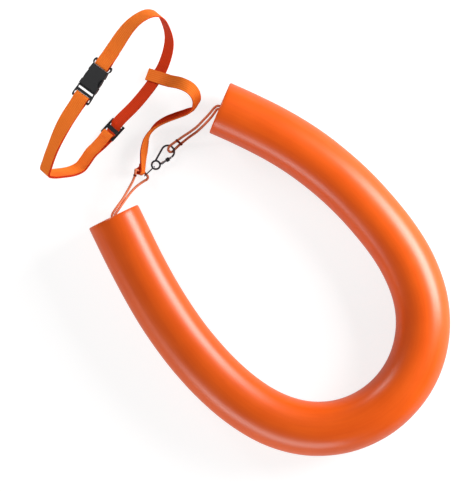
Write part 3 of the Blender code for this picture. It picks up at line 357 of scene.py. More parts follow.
def foam_skin():
    """Extruded closed-cell foam: a smooth satin skin with faint streaks along its length."""
    material, tree, shader = blank_material("foam_skin")
    strap = node(tree, "ShaderNodeUVMap", {"uv_map": "strap"})
    size = (1 / FOAM_STREAK_WIDTH, 1 / FOAM_STREAK_LENGTH, 1)
    stretch = node(tree, "ShaderNodeMapping", {"Scale": size}, {"Vector": strap.outputs[0]})
    streak = node(tree, "ShaderNodeTexNoise", {"Scale": 1.0, "Detail": 3.0}, {"Vector": stretch.outputs[0]})
    spot = node(tree, "ShaderNodeTexCoord").outputs["Object"]
    cloud = node(tree, "ShaderNodeTexNoise", {"Scale": 1 / FOAM_CLOUD, "Detail": 2.0}, {"Vector": spot})
    both = node(tree, "ShaderNodeMath", {"operation": "ADD"}, {0: streak.outputs[0], 1: cloud.outputs[0]})
    ramp = node(tree, "ShaderNodeMapRange", {"From Min": 0.6, "From Max": 1.4}, {"Value": both.outputs[0]})
    tints = {"data_type": "RGBA", FIRST_COLOUR: linear(FOAM_ORANGE_DEEP), SECOND_COLOUR: linear(FOAM_ORANGE)}
    colour = node(tree, "ShaderNodeMix", tints, {"Factor": ramp.outputs[0]})
    cells = node(tree, "ShaderNodeTexNoise", {"Scale": 1 / FOAM_CELL, "Detail": 4.0}, {"Vector": spot})
    pits = {"Strength": 0.35, "Distance": FOAM_CELL_DEPTH}
    bump = node(tree, "ShaderNodeBump", pits, {"Height": cells.outputs[0]})
    rough = node(tree, "ShaderNodeMapRange", {"To Min": 0.29, "To Max": 0.39}, {"Value": cloud.outputs[0]})
    shader.inputs["IOR"].default_value = 1.49
    shader.inputs["Specular IOR Level"].default_value = 0.6
    tree.links.new(colour.outputs[MIXED_COLOUR], shader.inputs["Base Color"])
    tree.links.new(rough.outputs[0], shader.inputs["Roughness"])
    tree.links.new(bump.outputs[0], shader.inputs["Normal"])
    return material


def foam_cut():
    """The same foam cut across: open half-cells, paler and matt."""
    material, tree, shader = blank_material("foam_cut_face")
    spot = node(tree, "ShaderNodeTexCoord").outputs["Object"]
    cells = node(tree, "ShaderNodeTexVoronoi", {"Scale": 1 / CUT_CELL}, {"Vector": spot})
    tints = {"data_type": "RGBA", FIRST_COLOUR: linear(FOAM_ORANGE_DEEP), SECOND_COLOUR: linear(FOAM_CUT)}
    colour = node(tree, "ShaderNodeMix", tints, {"Factor": cells.outputs["Distance"]})
    pits = {"Strength": 0.8, "Distance": CUT_CELL_DEPTH}
    bump = node(tree, "ShaderNodeBump", pits, {"Height": cells.outputs["Distance"]})
    shader.inputs["Roughness"].default_value = 0.85
    tree.links.new(colour.outputs[MIXED_COLOUR], shader.inputs["Base Color"])
    tree.links.new(bump.outputs[0], shader.inputs["Normal"])
    return material


def woven(name, thread, gap, rib, row):
    """Woven, braided or twisted synthetic yarn: matt with a soft sheen, in ribs that run across
    it and are split into rows along it."""
    material, tree, shader = blank_material(name)
    strap = node(tree, "ShaderNodeUVMap", {"uv_map": "strap"}).outputs[0]
    across = {"bands_direction": "Y", "Scale": wave_scale(rib)}
    along = {"bands_direction": "X", "Scale": wave_scale(row)}
    ribs = node(tree, "ShaderNodeTexWave", across, {"Vector": strap})
    rows = node(tree, "ShaderNodeTexWave", along, {"Vector": strap})
    crossed = {0: ribs.outputs["Fac"], 1: rows.outputs["Fac"]}
    weave = node(tree, "ShaderNodeMath", {"operation": "MULTIPLY"}, crossed)
    fibre = node(tree, "ShaderNodeTexNoise", {"Scale": 1 / FIBRE, "Detail": 2.0}, {"Vector": strap})
    fuzzed = {0: fibre.outputs[0], 2: weave.outputs[0]}
    height = node(tree, "ShaderNodeMath", {"operation": "MULTIPLY_ADD", 1: 0.35}, fuzzed)
    tints = {"data_type": "RGBA", FIRST_COLOUR: linear(gap), SECOND_COLOUR: linear(thread)}
    colour = node(tree, "ShaderNodeMix", tints, {"Factor": height.outputs[0]})
    ridges = {"Strength": 0.7, "Distance": WEAVE_DEPTH}
    bump = node(tree, "ShaderNodeBump", ridges, {"Height": height.outputs[0]})
    shader.inputs["Roughness"].default_value = 0.7
    shader.inputs["Specular IOR Level"].default_value = 0.15
    shader.inputs["Sheen Weight"].default_value = 0.03
    shader.inputs["Sheen Roughness"].default_value = 0.4
    tree.links.new(colour.outputs[MIXED_COLOUR], shader.inputs["Base Color"])
    tree.links.new(bump.outputs[0], shader.inputs["Normal"])
    return material


def moulded_acetal(name, smoothest, roughest):
    """Injection-moulded acetal: black, slightly waxy, with a fine spark-eroded texture."""
    material, tree, shader = blank_material(name)
    spot = node(tree, "ShaderNodeTexCoord").outputs["Object"]
    grain = node(tree, "ShaderNodeTexNoise", {"Scale": 1 / ACETAL_GRAIN, "Detail": 3.0}, {"Vector": spot})
    pits = {"Strength": 0.25, "Distance": ACETAL_GRAIN_DEPTH}
    bump = node(tree, "ShaderNodeBump", pits, {"Height": grain.outputs[0]})
    limits = {"To Min": smoothest, "To Max": roughest}
    rough = node(tree, "ShaderNodeMapRange", limits, {"Value": grain.outputs[0]})
    shader.inputs["Base Color"].default_value = linear(ACETAL_BLACK)
    shader.inputs["IOR"].default_value = 1.48
    tree.links.new(rough.outputs[0], shader.inputs["Roughness"])
    tree.links.new(bump.outputs[0], shader.inputs["Normal"])
    return material


def plated_steel(name, tint, smoothest, roughest):
    """Drawn steel wire, polished or plated: mirror-like, with faint handling marks."""
    material, tree, shader = blank_material(name)
    spot = node(tree, "ShaderNodeTexCoord").outputs["Object"]
    marks = node(tree, "ShaderNodeTexNoise", {"Scale": 1 / HANDLING_MARK, "Detail": 5.0}, {"Vector": spot})
    limits = {"To Min": smoothest, "To Max": roughest}
    rough = node(tree, "ShaderNodeMapRange", limits, {"Value": marks.outputs[0]})
    shader.inputs["Base Color"].default_value = linear(tint)
    shader.inputs["Metallic"].default_value = 1.0
    tree.links.new(rough.outputs[0], shader.inputs["Roughness"])
    return material


# Paths
def lerp(a, b, share):
    """The value at this share of the way from a to b."""
    return a + (b - a) * share


def smooth_path(points, step):
    """Points at about one step along a centripetal curve through the given points."""
    points = [Vector(p) for p in points]
    ends = [points[0] * 2 - points[1]] + points + [points[-1] * 2 - points[-2]]
    path = [points[0]]
    for a, b, c, d in zip(ends, ends[1:], ends[2:], ends[3:]):
        knots = [0.0]
        for start, stop in ((a, b), (b, c), (c, d)):
            knots.append(knots[-1] + sqrt((stop - start).length))
        count = max(1, round((c - b).length / step))
        for i in range(1, count + 1):
            path.append(knot_point((a, b, c, d), knots, lerp(knots[1], knots[2], i / count)))
    return path


def knot_point(points, knots, t):
    """One point of the curve through four points with the given knots."""
    level = list(points)
    for order in (1, 2, 3):
        row = []
        for i in range(4 - order):
            low, high = (knots[1], knots[2]) if order == 3 else (knots[i], knots[i + order])
            row.append(level[i] + (level[i + 1] - level[i]) * ((t - low) / (high - low)))
        level = row
    return level[0]


def drop_repeats(path):
    """A path without points that lie almost on the one before."""
    result = [path[0]]
    for point in path[1:]:
        if (point - result[-1]).length > LEAST_STEP:
            result.append(point)
    return result


def nearest(path, spot):
    """The index of the path's point that is nearest to a spot."""
    return min(range(len(path)), key=lambda i: (path[i] - Vector(spot)).length)


def tangents(path):
    """The path's direction at each of its points."""
    last = len(path) - 1
    return [(path[min(i + 1, last)] - path[max(i - 1, 0)]).normalized() for i in range(len(path))]


def lengths_along(path):
    """The distance along the path to each of its points."""
    result = [0.0]
    for a, b in zip(path, path[1:]):
        result.append(result[-1] + (b - a).length)
    return result


def spread(points, values, path):
    """A path's values, blended between those at its route's points."""
    result = []
    leg = 0
    for point in path:
        while leg < len(points) - 2 and (points[leg + 1] - point).dot(points[leg + 1] - points[leg]) < 0:
            leg += 1
        step = points[leg + 1] - points[leg]
        share = min(1.0, max(0.0, (point - points[leg]).dot(step) / step.length_squared))
        result.append(lerp(values[leg], values[leg + 1], share))
    return result


def bend_at(share):
    """How strongly the stick bends at this share of its length."""
    place = share * (len(FOAM_BEND_SHARES) - 1)
    low = min(int(place), len(FOAM_BEND_SHARES) - 2)
    return lerp(FOAM_BEND_SHARES[low], FOAM_BEND_SHARES[low + 1], place - low)


def foam_axis(count):
    """Evenly spaced points of the stick's axis with the left side's direction at each."""
    steps = count * FOAM_STEPS_PER_RING
    bends = [bend_at((i + 0.5) / steps) for i in range(steps)]
    at = Vector((FOAM_START_X, FOAM_START_Y, FOAM_DIAMETER / 2 * cos(pi / FOAM_SOLID_SIDES)))
    heading = FOAM_START_HEADING
    stations = [(at.copy(), Vector((-sin(heading), cos(heading), 0)))]
    for bend in bends:
        turn = FOAM_BEND * bend / sum(bends)
        heading += turn / 2
        at += Vector((cos(heading), sin(heading), 0)) * (FOAM_LENGTH / steps)
        heading += turn / 2
        stations.append((at.copy(), Vector((-sin(heading), cos(heading), 0))))
    return stations[::FOAM_STEPS_PER_RING]


def loop_place():
    """The frame of the belt's loop, whose plane leans out of the floor."""
    centre = Matrix.Translation((LOOP_CENTRE_X, LOOP_CENTRE_Y, LOOP_CENTRE_Z))
    return centre @ Matrix.Rotation(LOOP_HEADING, 4, "Z") @ Matrix.Rotation(LOOP_LEAN, 4, "X")


def place_in_loop(x_share, y_share, angle):
    """The frame of a piece on the belt: x along the webbing and z out of its face."""
    spot = Matrix.Translation((x_share * LOOP_LENGTH, y_share * LOOP_DEPTH, 0))
    return spot @ Matrix.Rotation(angle, 4, "Z") @ Matrix.Rotation(-pi / 2, 4, "X")


LOOP = loop_place()
BUCKLE = place_in_loop(BUCKLE_X_SHARE, BUCKLE_Y_SHARE, BUCKLE_ANGLE) @ Matrix.Rotation(BUCKLE_ROLL, 4, "X")
SLIDER = place_in_loop(SLIDER_X_SHARE, SLIDER_Y_SHARE, SLIDER_ANGLE)
TO_SLIDER = SLIDER.inverted()


def in_plane(place, pairs):
    """Points in a piece's own xz plane, in the loop's frame."""
    return [place @ Vector((x, 0, z)) for x, z in pairs]


def run(shares):
    """Points of a free run of the belt, in the loop's frame."""
    return [Vector((x * LOOP_LENGTH, y * LOOP_DEPTH, 0)) for x, y in shares]


def turn_round(x, radius, facing):
    """Points over a bar at x, from its +z side to its -z side, on the facing side."""
    turns = [pi / 2 - pi * i / TURN_STEPS for i in range(TURN_STEPS + 1)]
    return [(x + facing * radius * cos(t), radius * sin(t)) for t in turns]


def loose_turn(x, radius, slot, facing):
    """Points over a bar at x where the webbing's fold fills the slot beside the bar."""
    slack = slot - WEBBING_THICKNESS - CLEARANCE * 2
    return [(x, radius)] + turn_round(x + facing * slack, radius, facing) + [(x, -radius)]


def twist(path):
    """The webbing's width direction at each point of the belt: turned at the buckle."""
    bars = in_plane(BUCKLE, [(RECEPTACLE_BAR_X, 0), (PLUG_BAR_X, 0)])
    turned_edge = BUCKLE.to_3x3() @ Vector((0, -1, 0))
    edges = []
    for point in path:
        distance = min((point - bar).length for bar in bars)
        share = min(1.0, max(0.0, 1.0 - (distance - SEWN_TAIL) / TWIST_REACH))
        share = share * share * (3 - share * 2)
        edges.append(lerp(UP, turned_edge, share).normalized())
    return edges


def inward(path, distance):
    """A path of the belt moved off the webbing's inner face."""
    steps = zip(path, tangents(path), twist(path))
    return [point + along.cross(edge).normalized() * distance for point, along, edge in steps]


def weave_in():
    """The upper run's way over the slider's first bar and under its middle plate."""
    reach, half = SLIDER_BAR_REACH, SLIDER_PLATE / 2
    slot = reach - half
    far, near = WEAVE_FAR_SHARES, WEAVE_NEAR_SHARES
    pairs = [(reach + slot, SLIDER_OVER), (reach, SLIDER_OVER)]
    pairs += [(reach - slot * far[0], SLIDER_OVER * far[1]), (half + slot * near[0], SLIDER_UNDER * near[1])]
    pairs += [(half, SLIDER_UNDER), (0, SLIDER_UNDER)]
    return in_plane(SLIDER, pairs)


def weave_out():
    """The lower run's way from the middle plate, below the fold on the second bar."""
    half, reach = SLIDER_PLATE / 2, SLIDER_BAR_REACH
    deep = -(SLIDER_OVER + LAYER)
    pairs = [(-half, SLIDER_UNDER)]
    pairs += [(-lerp(half, reach, x), deep * z) for x, z in WEAVE_OUT_SHARES]
    pairs += [(-(reach + SEWN_TAIL * x), -LAYER * z) for x, z in WEAVE_TAIL_SHARES]
    return in_plane(SLIDER, pairs)


def fold_back():
    """The inner layer's end, folded round the slider's second bar and sewn to itself."""
    reach = SLIDER_BAR_REACH
    pairs = [(-(reach + SEWN_TAIL), LAYER / 2), (-(reach + SEWN_TAIL / 2), LAYER / 2), (-reach, SLIDER_OVER)]
    pairs += turn_round(SLIDER_FOLD_SLACK - reach, SLIDER_OVER, 1) + [(-reach, -SLIDER_OVER)]
    pairs += [(-(reach + SEWN_TAIL / 4), -LAYER / 2), (-(reach + SEWN_TAIL / 2), -LAYER / 2)]
    return in_plane(SLIDER, pairs)


# Meshes
def add_piece(name, bm, materials):
    """An object from a bmesh with its materials, smoothly shaded."""
    bmesh.ops.recalc_face_normals(bm, faces=bm.faces)
    mesh = bpy.data.meshes.new(name)
    bm.to_mesh(mesh)
    bm.free()
    for material in materials:
        mesh.materials.append(material)
    mesh.shade_smooth()
    mesh.set_sharp_from_angle(angle=SHARP_ANGLE)
    item = bpy.data.objects.new(name, mesh)
    bpy.context.scene.collection.objects.link(item)
    return item


def skin_between(bm, rings, around, along):
    """Faces between rings of vertices, with u round the section and v along the path."""
    layer = bm.loops.layers.uv.get("strap") or bm.loops.layers.uv.new("strap")
    count = len(rings[0])
    faces = []
    for j in range(len(rings) - 1):
        near, far = along[j], along[j + 1]
        for i in range(count):
            n = (i + 1) % count
            u = around[i]
            u_next = around[n] if n else u * 2 - around[i - 1]
            faces.append(bm.faces.new((rings[j][i], rings[j][n], rings[j + 1][n], rings[j + 1][i])))
            for loop, uv in zip(faces[-1].loops, ((u, near), (u_next, near), (u_next, far), (u, far))):
                loop[layer].uv = uv
    return faces


def bowed(x, y, cup, reach):
    """A point of a section whose width is bent to an arc that turns by cup over this reach."""
    if abs(cup) < FLAT_LIMIT:
        return x, y
    angle = cup * x / reach
    return (reach / cup - y) * sin(angle), reach / cup - (reach / cup - y) * cos(angle)


def webbing(name, path, edges, width, bright_side, cups=None, gathers=None, place=None, start=0.0):
    """Woven webbing along a path: bright between the selvages on one side, and elsewhere a darker copy that
    is painted shade.
    A cup is the angle that the webbing's edges are turned up by, at each point of the path,
    and a gather is the share of its width that it is squeezed to, as much thicker."""
    section = list(SECTION_SHARES) + [(-x, -y) for x, y in SECTION_SHARES]
    cups, gathers = cups or [0.0] * len(path), gathers or [1.0] * len(path)
    bm = bmesh.new()
    rings = []
    for point, along, edge, cup, gather in zip(path, tangents(path), edges, cups, gathers):
        across = (edge - along * edge.dot(along)).normalized()
        face = along.cross(across)
        rings.append([])
        for x, y in section:
            out, up = bowed(x * width * gather / 2, y * WEBBING_THICKNESS / gather / 2, cup, width / 2)
            rings[-1].append(bm.verts.new(point + across * out + face * up))
    around = [x * width / 2 for x, y in section]
    # The selvages and the back side take the darkened copy: painted shade
    for number, face in enumerate(skin_between(bm, rings, around, [start + v for v in lengths_along(path)])):
        side, spot = divmod(number % len(section), len(SECTION_SHARES))
        inner = SELVAGE_FACES <= spot < len(SECTION_SHARES) - SELVAGE_FACES
        face.material_index = 1 if inner and side == bright_side else 0
    bm.faces.new(rings[0])
    bm.faces.new(rings[-1])
    if place:
        bm.transform(place)
    return add_piece(name, bm, [shaded_back_weave, face_weave])


def tube(name, path, radius, material, sides, braid=0.0):
    """A round cord along a path, its surface raised and lowered in a braid's diamonds."""
    bm = bmesh.new()
    directions = tangents(path)
    side = directions[0].cross(UP)
    if side.length < UPRIGHT_LIMIT:
        side = directions[0].cross(Vector((1, 0, 0)))
    rings = []
    angles = [2 * pi * i / sides for i in range(sides)]
    reached = lengths_along(path)
    for point, along, reach in zip(path, directions, reached):
        side = (side - along * side.dot(along)).normalized()
        up = side.cross(along)
        turn = 2 * pi * reach / BRAID_PITCH
        rings.append([])
        for a in angles:
            size = radius * (1 + braid * cos(BRAID_LOBES * a + turn) * cos(BRAID_LOBES * a - turn))
            rings[-1].append(bm.verts.new(point + (side * cos(a) + up * sin(a)) * size))
    skin_between(bm, rings, [radius * a for a in angles], reached)
    bm.faces.new(rings[0])
    bm.faces.new(rings[-1])
    return add_piece(name, bm, [material])


def coil(centres, along, reach, spacing):
    """Thread wound round one cord, or round two that lie side by side."""
    along = along.normalized()
    middle = sum(centres, Vector()) / len(centres)
    apart = (centres[-1] - centres[0]) / 2
    apart -= along * apart.dot(along)
    first = (apart if len(centres) > 1 else along.orthogonal()).normalized()
    second = along.cross(first)
    points = []
    for i in range(WHIPPING_TURNS * WHIPPING_STEPS + 1):
        turns = i / WHIPPING_STEPS
        a = 2 * pi * turns
        out = min(1.0, abs(cos(a)) * WHIPPING_SQUARENESS) * (1 if cos(a) > 0 else -1)
        bow = first * (cos(a) * reach + apart.length * out) + second * (sin(a) * reach)
        points.append(middle + bow + along * ((turns - WHIPPING_TURNS / 2) * spacing))
    return points


def stitches(name, lines):
    """Rows of short raised thread stitches along straight lines."""
    bm = bmesh.new()
    pitch = STITCH_LENGTH + STITCH_GAP
    turns = [2 * pi * i / STITCH_SIDES for i in range(STITCH_SIDES)]
    for start, stop in lines:
        along = (stop - start).normalized()
        total = (stop - start).length
        count = max(1, int((total + STITCH_GAP) / pitch))
        side = along.cross(STITCH_SIDE_HINT).normalized()
        up = side.cross(along)
        for k in range(count):
            base = start + along * ((total - count * pitch + STITCH_GAP) / 2 + k * pitch)
            rings = []
            for share, size in STITCH_SHARES:
                centre = base + along * (STITCH_LENGTH * share)
                spokes = [(side * cos(t) + up * sin(t)) * (STITCH_RADIUS * size) for t in turns]
                rings.append([bm.verts.new(centre + spoke) for spoke in spokes])
            for a, b in zip(rings, rings[1:]):
                for i in range(STITCH_SIDES):
                    n = (i + 1) % STITCH_SIDES
                    bm.faces.new((a[i], a[n], b[n], b[i]))
            bm.faces.new(rings[0])
            bm.faces.new(rings[-1])
    return add_piece(name, bm, [sewing_thread])


def rows_across(path, edges, distances, width, lift):
    """Lines across webbing, lifted off its middle, at these distances along its path."""
    lines = []
    directions, reached = tangents(path), lengths_along(path)
    for distance in distances:
        i = min(range(len(path)), key=lambda k: abs(reached[k] - distance))
        across = (edges[i] - directions[i] * edges[i].dot(directions[i])).normalized()
        middle = path[i] + directions[i].cross(across) * lift
        half = across * (width * ROW_REACH_SHARE)
        lines.append((middle - half, middle + half))
    return lines


# Finishes. The webbing's dark back is painted shade, standing in for how light passes through and round the
# weave
skin = foam_skin()
cut_face = foam_cut()
face_weave = woven("woven_nylon_face", FACE_THREAD, FACE_GAP, WEBBING_RIB, WEBBING_ROW)
shaded_back_weave = woven("woven_nylon_back_painted_shade", SHADED_BACK_THREAD, SHADED_BACK_GAP, WEBBING_RIB, WEBBING_ROW)
cord_braid = woven("braided_polyester_cord", CORD_THREAD, CORD_GAP, CORD_RIB, CORD_ROW)
sewing_thread = woven("bonded_thread", STITCH_THREAD, FACE_GAP, THREAD_TWIST, THREAD_TWIST)
whipping_and_shadow_thread = woven("whipping_and_shadow_thread", WHIPPING_AND_SHADOW_THREAD, WHIPPING_AND_SHADOW_THREAD, THREAD_TWIST, THREAD_TWIST)
acetal = moulded_acetal("moulded_acetal", 0.34, 0.5)
glossy_acetal = moulded_acetal("glossy_moulded_acetal", 0.14, 0.24)
nickel = plated_steel("nickel_plated_steel", NICKEL, 0.10, 0.22)
# Plated steel darkened for the hook's wire: painted dark reflection
wire_painted_dark = plated_steel("plated_wire_painted_dark", WIRE_PAINTED_DARK, 0.10, 0.22)
dark_nickel = plated_steel("dark_plated_steel", DARK_NICKEL, 0.25, 0.4)


# Camera
def set_camera():
    """The camera that sees the object as the photograph shows it."""
    data = bpy.data.cameras.new("camera")
    data.type = "PERSP"
    data.sensor_fit = "VERTICAL"
    data.sensor_height = SENSOR_HEIGHT_MM
    data.lens = SENSOR_HEIGHT_MM * CAMERA_DISTANCE / VIEW_HEIGHT
    data.clip_end = CAMERA_REACH
    camera = bpy.data.objects.new("camera", data)
    camera.location = (VIEW_CENTRE_X, VIEW_CENTRE_Y, CAMERA_TARGET_Z + CAMERA_DISTANCE)
    bpy.context.scene.collection.objects.link(camera)
    bpy.context.scene.camera = camera


# Cords
def end_loops():
    """Each bight as one braided cord, with the whipping of thread on it."""
    for name, route, size, spots, solid in (
        ("left_bight", LEFT_BIGHT_ROUTE, LEFT_BIGHT_LENGTH, LEFT_SHADOW_WHIPPING, "end_loop_cord_left"),
        ("right_bight", RIGHT_BIGHT_ROUTE, RIGHT_BIGHT_LENGTH, RIGHT_WHIPPING, "end_loop_cord_right"),
    ):
        path = smooth_path(route, CORD_STEP)
        piece = tube(name, path, CORD_DIAMETER / 2, cord_braid, CORD_SIDES, BRAID_DEPTH)
        places = [nearest(path, spot) for spot in spots]
        along = path[places[0] + 2] - path[places[0] - 2]
        reach = CORD_DIAMETER / 2 + WHIPPING_RADIUS * WHIPPING_SINK_SHARE
        wound = coil([path[i] for i in places], along, reach, WHIPPING_RADIUS * WHIPPING_PITCH_SHARE)
        # The left bight's dark whipping is a painted shadow
        whipping = tube(name + "_whipping", wound, WHIPPING_RADIUS, whipping_and_shadow_thread, WHIPPING_SIDES)
        for item in (piece, whipping):
            if name == "left_bight":
                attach(item, "foam")
            else:
                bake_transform(item)
        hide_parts(solid)


def bore_strands():
    """The cord's two strands inside the bore."""
    for name, offset, solid in (
        ("bore_strand_a", -CORD_STRAND_OFFSET, "bore_cord_a"),
        ("bore_strand_b", CORD_STRAND_OFFSET, "bore_cord_b"),
    ):
        path = [point + side * offset for point, side in foam_axis(BORE_STRAND_RINGS)]
        path[0] += (path[1] - path[0]).normalized() * CORD_INSET
        path[-1] += (path[-2] - path[-1]).normalized() * CORD_INSET
        piece = tube(name, path, CORD_DIAMETER / 2, cord_braid, BORE_STRAND_SIDES)
        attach(piece, "foam")
        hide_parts(solid)


# Foam stick
def foam_ring(bm, point, side, size, count, wave=0.0):
    """One ring of the stick's surface, kept off the floor's underside."""
    verts = []
    for i in range(count):
        angle = 2 * pi * (i + 0.5) / count
        out = side * cos(angle) + UP * sin(angle)
        grow = noise.noise((point + out * size) * FOAM_WAVES_PER_METRE) * wave
        place = point + out * (size + grow)
        place.z = max(place.z, 0.0)
        verts.append(bm.verts.new(place))
    return verts


def softened_edge(station, inwards):
    """Centre, side, radius and wave of the rings that round off a cut end, from the cut."""
    point, side = station
    rings = []
    for turn in (0.0, pi / 4, pi / 2):
        size = FOAM_DIAMETER / 2 - FOAM_EDGE_ROUNDING * (1 - sin(turn))
        rings.append((point + inwards * (FOAM_EDGE_ROUNDING * (1 - cos(turn))), side, size, 0.0))
    return rings


def foam_stick():
    """The bent stick: smooth skin, softened cut ends and an open bore."""
    stations = foam_axis(FOAM_RINGS)
    first = (stations[1][0] - stations[0][0]).normalized()
    last = (stations[-2][0] - stations[-1][0]).normalized()
    sections = softened_edge(stations[0], first)
    sections += [(point, side, FOAM_DIAMETER / 2, FOAM_WAVE) for point, side in stations[1:-1]]
    sections += reversed(softened_edge(stations[-1], last))
    bm = bmesh.new()
    outer = [foam_ring(bm, point, side, size, FOAM_SKIN_SIDES, wave) for point, side, size, wave in sections]
    inner = [foam_ring(bm, point, side, FOAM_BORE / 2, FOAM_BORE_SIDES) for point, side in stations]
    for rings, diameter, material in ((outer, FOAM_DIAMETER, 0), (inner, FOAM_BORE, 1)):
        around = [pi * diameter * i / len(rings[0]) for i in range(len(rings[0]))]
        for face in skin_between(bm, rings, around, lengths_along([ring[0].co for ring in rings])):
            face.material_index = material
    ratio = FOAM_SKIN_SIDES // FOAM_BORE_SIDES
    for big, small in ((outer[0], inner[0]), (outer[-1], inner[-1])):
        for i in range(FOAM_SKIN_SIDES):
            a, b = big[i], big[(i + 1) % FOAM_SKIN_SIDES]
            c, d = (small[(k + ratio // 2) // ratio % FOAM_BORE_SIDES] for k in (i, i + 1))
            face = bm.faces.new((a, b, c) if c is d else (a, b, d, c))
            face.material_index = 1
    piece = add_piece("foam_stick", bm, [skin, cut_face])
    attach(piece, "foam")
    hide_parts("foam_tube")


# Belt
def belt_runs():
    """The strap's lengths in the loop's frame: the sewn eye on the receptacle, the runs above and
    below, the foot round the plug's bar, the layer back to the slider and the slider's fold."""
    top, bottom = RECEPTACLE_BAR_X, PLUG_BAR_X
    tail = in_plane(BUCKLE, [(top + SEWN_TAIL, -LAYER / 2), (top + SEWN_TAIL / 2, -LAYER / 2)])
    head = in_plane(BUCKLE, reversed(loose_turn(top, STRAP_TURN_RADIUS, STRAP_SLOT, -1)))
    lead = in_plane(BUCKLE, [(top + SEWN_TAIL / 2, LAYER / 2)])
    upper = smooth_path(lead + run(UPPER_RUN_SHARES) + weave_in(), WEBBING_STEP)
    landing = in_plane(BUCKLE, [(bottom - SEWN_TAIL / 2, LAYER / 2)])
    lower = smooth_path(weave_out() + run(LOWER_RUN_SHARES) + landing, WEBBING_STEP)
    foot = in_plane(BUCKLE, loose_turn(bottom, STRAP_TURN_RADIUS, PLUG_STRAP_SLOT, 1))
    limit = -(SLIDER_BAR_REACH + SEWN_TAIL + WEBBING_STEP)
    back = []
    for point in reversed(inward(lower, LAYER)):
        local = TO_SLIDER @ point
        if local.x < limit or local.z > WEBBING_WIDTH:
            back.append(point)
    eye, fold = smooth_path(tail + head, FOLD_STEP), smooth_path(fold_back(), FOLD_STEP)
    return eye, upper, lower, smooth_path(foot, FOOT_STEP), back, fold


def attach_to_belt(piece, crossing):
    """Give a piece of the belt its body, or bake its place into its mesh where it crosses between two
    bodies.
    """
    if crossing == "belt":
        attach(piece, "belt")
    else:
        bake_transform(piece)


def belt_webbing():
    """The belt's webbing in pieces that meet where its bodies move apart."""
    eye, upper, lower, foot, back, fold = belt_runs()
    upper_far = [p for p in upper if (TO_SLIDER @ p).x > UPPER_PART]
    upper_near = [upper_far[-1]] + [p for p in upper if (TO_SLIDER @ p).x <= UPPER_PART]
    corner = next(i for i, p in enumerate(lower) if p.y > LOWER_RUN_SHARES[CORNER_INDEX][1] * LOOP_DEPTH)
    near = next(i for i, p in enumerate(lower) if (TO_SLIDER @ p).x < -LOWER_PART)
    back_corner, back_near = nearest(back, lower[corner]), nearest(back, lower[near])
    reached = 0.0
    for name, path, crossing in (
        ("belt_webbing_upper", eye + upper_far, "belt"),
        ("belt_webbing_into_slider", upper_near, "slider_in"),
        ("belt_webbing_out_of_slider", [upper_near[-1]] + lower[:near + 1], "slider_out"),
        ("belt_webbing_bottom", lower[near:corner + 1], "belt"),
        ("belt_webbing_side", lower[corner:] + foot + back[:back_corner + 1], "plug"),
        ("belt_webbing_bottom_return", back[back_corner:back_near + 1], "belt"),
        ("belt_webbing_return_at_slider", back[back_near:] + fold, "slider_out"),
    ):
        path = drop_repeats(path)
        piece = webbing(name, path, twist(path), WEBBING_WIDTH, UNDER, place=LOOP, start=reached)
        reached += lengths_along(path)[-1]
        attach_to_belt(piece, crossing)
        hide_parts("belt_strap")
    turned = lengths_along(eye)[-1]
    eye_rows = TAIL_ROWS + tuple(turned + row for row in EYE_ROWS)
    for name, path, spots, crossing in (
        ("receptacle_stitching", eye + upper_far, eye_rows, "belt"),
        ("slider_stitching", fold, SLIDER_ROWS, "slider_out"),
    ):
        lines = rows_across(path, twist(path), spots, WEBBING_WIDTH, -STITCH_LIFT)
        piece = stitches(name, [(LOOP @ a, LOOP @ b) for a, b in lines])
        attach_to_belt(piece, crossing)


# Tether
def tether_frame():
    """The frame of the tether's loop on the belt: x away from the belt, y along it."""
    points = run(UPPER_RUN_SHARES)
    along = (points[JUNCTION_INDEX + 1] - points[JUNCTION_INDEX - 1]).normalized()
    x_axis = UP * cos(TETHER_CROSSING) - along * sin(TETHER_CROSSING)
    y_axis = along * cos(TETHER_CROSSING) + UP * sin(TETHER_CROSSING)
    matrix = Matrix((x_axis, y_axis, x_axis.cross(y_axis))).transposed().to_4x4()
    return LOOP @ Matrix.Translation(points[JUNCTION_INDEX]) @ matrix


def tether_loop():
    """Points of the loop round the belt, from its tail, and its width direction."""
    place = tether_frame()
    edge = (place.to_3x3() @ Vector((0, -1, 0))).normalized()
    clear, radius = TETHER_FOLD_REACH, TETHER_LOOP_RADIUS
    pairs = [(TETHER_LOOP_REACH, LAYER / 2), (clear, radius), (0, radius)]
    pairs += turn_round(-clear, radius, -1)
    pairs += [(0, -radius), (clear, -radius), (TETHER_LOOP_REACH, -LAYER / 2)]
    return in_plane(place, pairs), edge


def tether_end(before):
    """Points of the eye round the cord, to its tail, and its width direction."""
    along = (TETHER_END - before).normalized()
    edge = Vector(TETHER_END_EDGE_SHARE)
    edge = (edge - along * edge.dot(along)).normalized()
    face = along.cross(edge)
    turns = [pi * i / TURN_STEPS for i in range(TURN_STEPS + 1)]
    points = [TETHER_END + (face * cos(t) + along * sin(t)) * TETHER_EYE_RADIUS for t in turns]
    drop = face * (TETHER_EYE_RADIUS - TETHER_END_THICKNESS - CLEARANCE)
    points += [TETHER_END - along * reach + drop for reach in (TETHER_TAIL / 2, TETHER_TAIL)]
    return points, edge


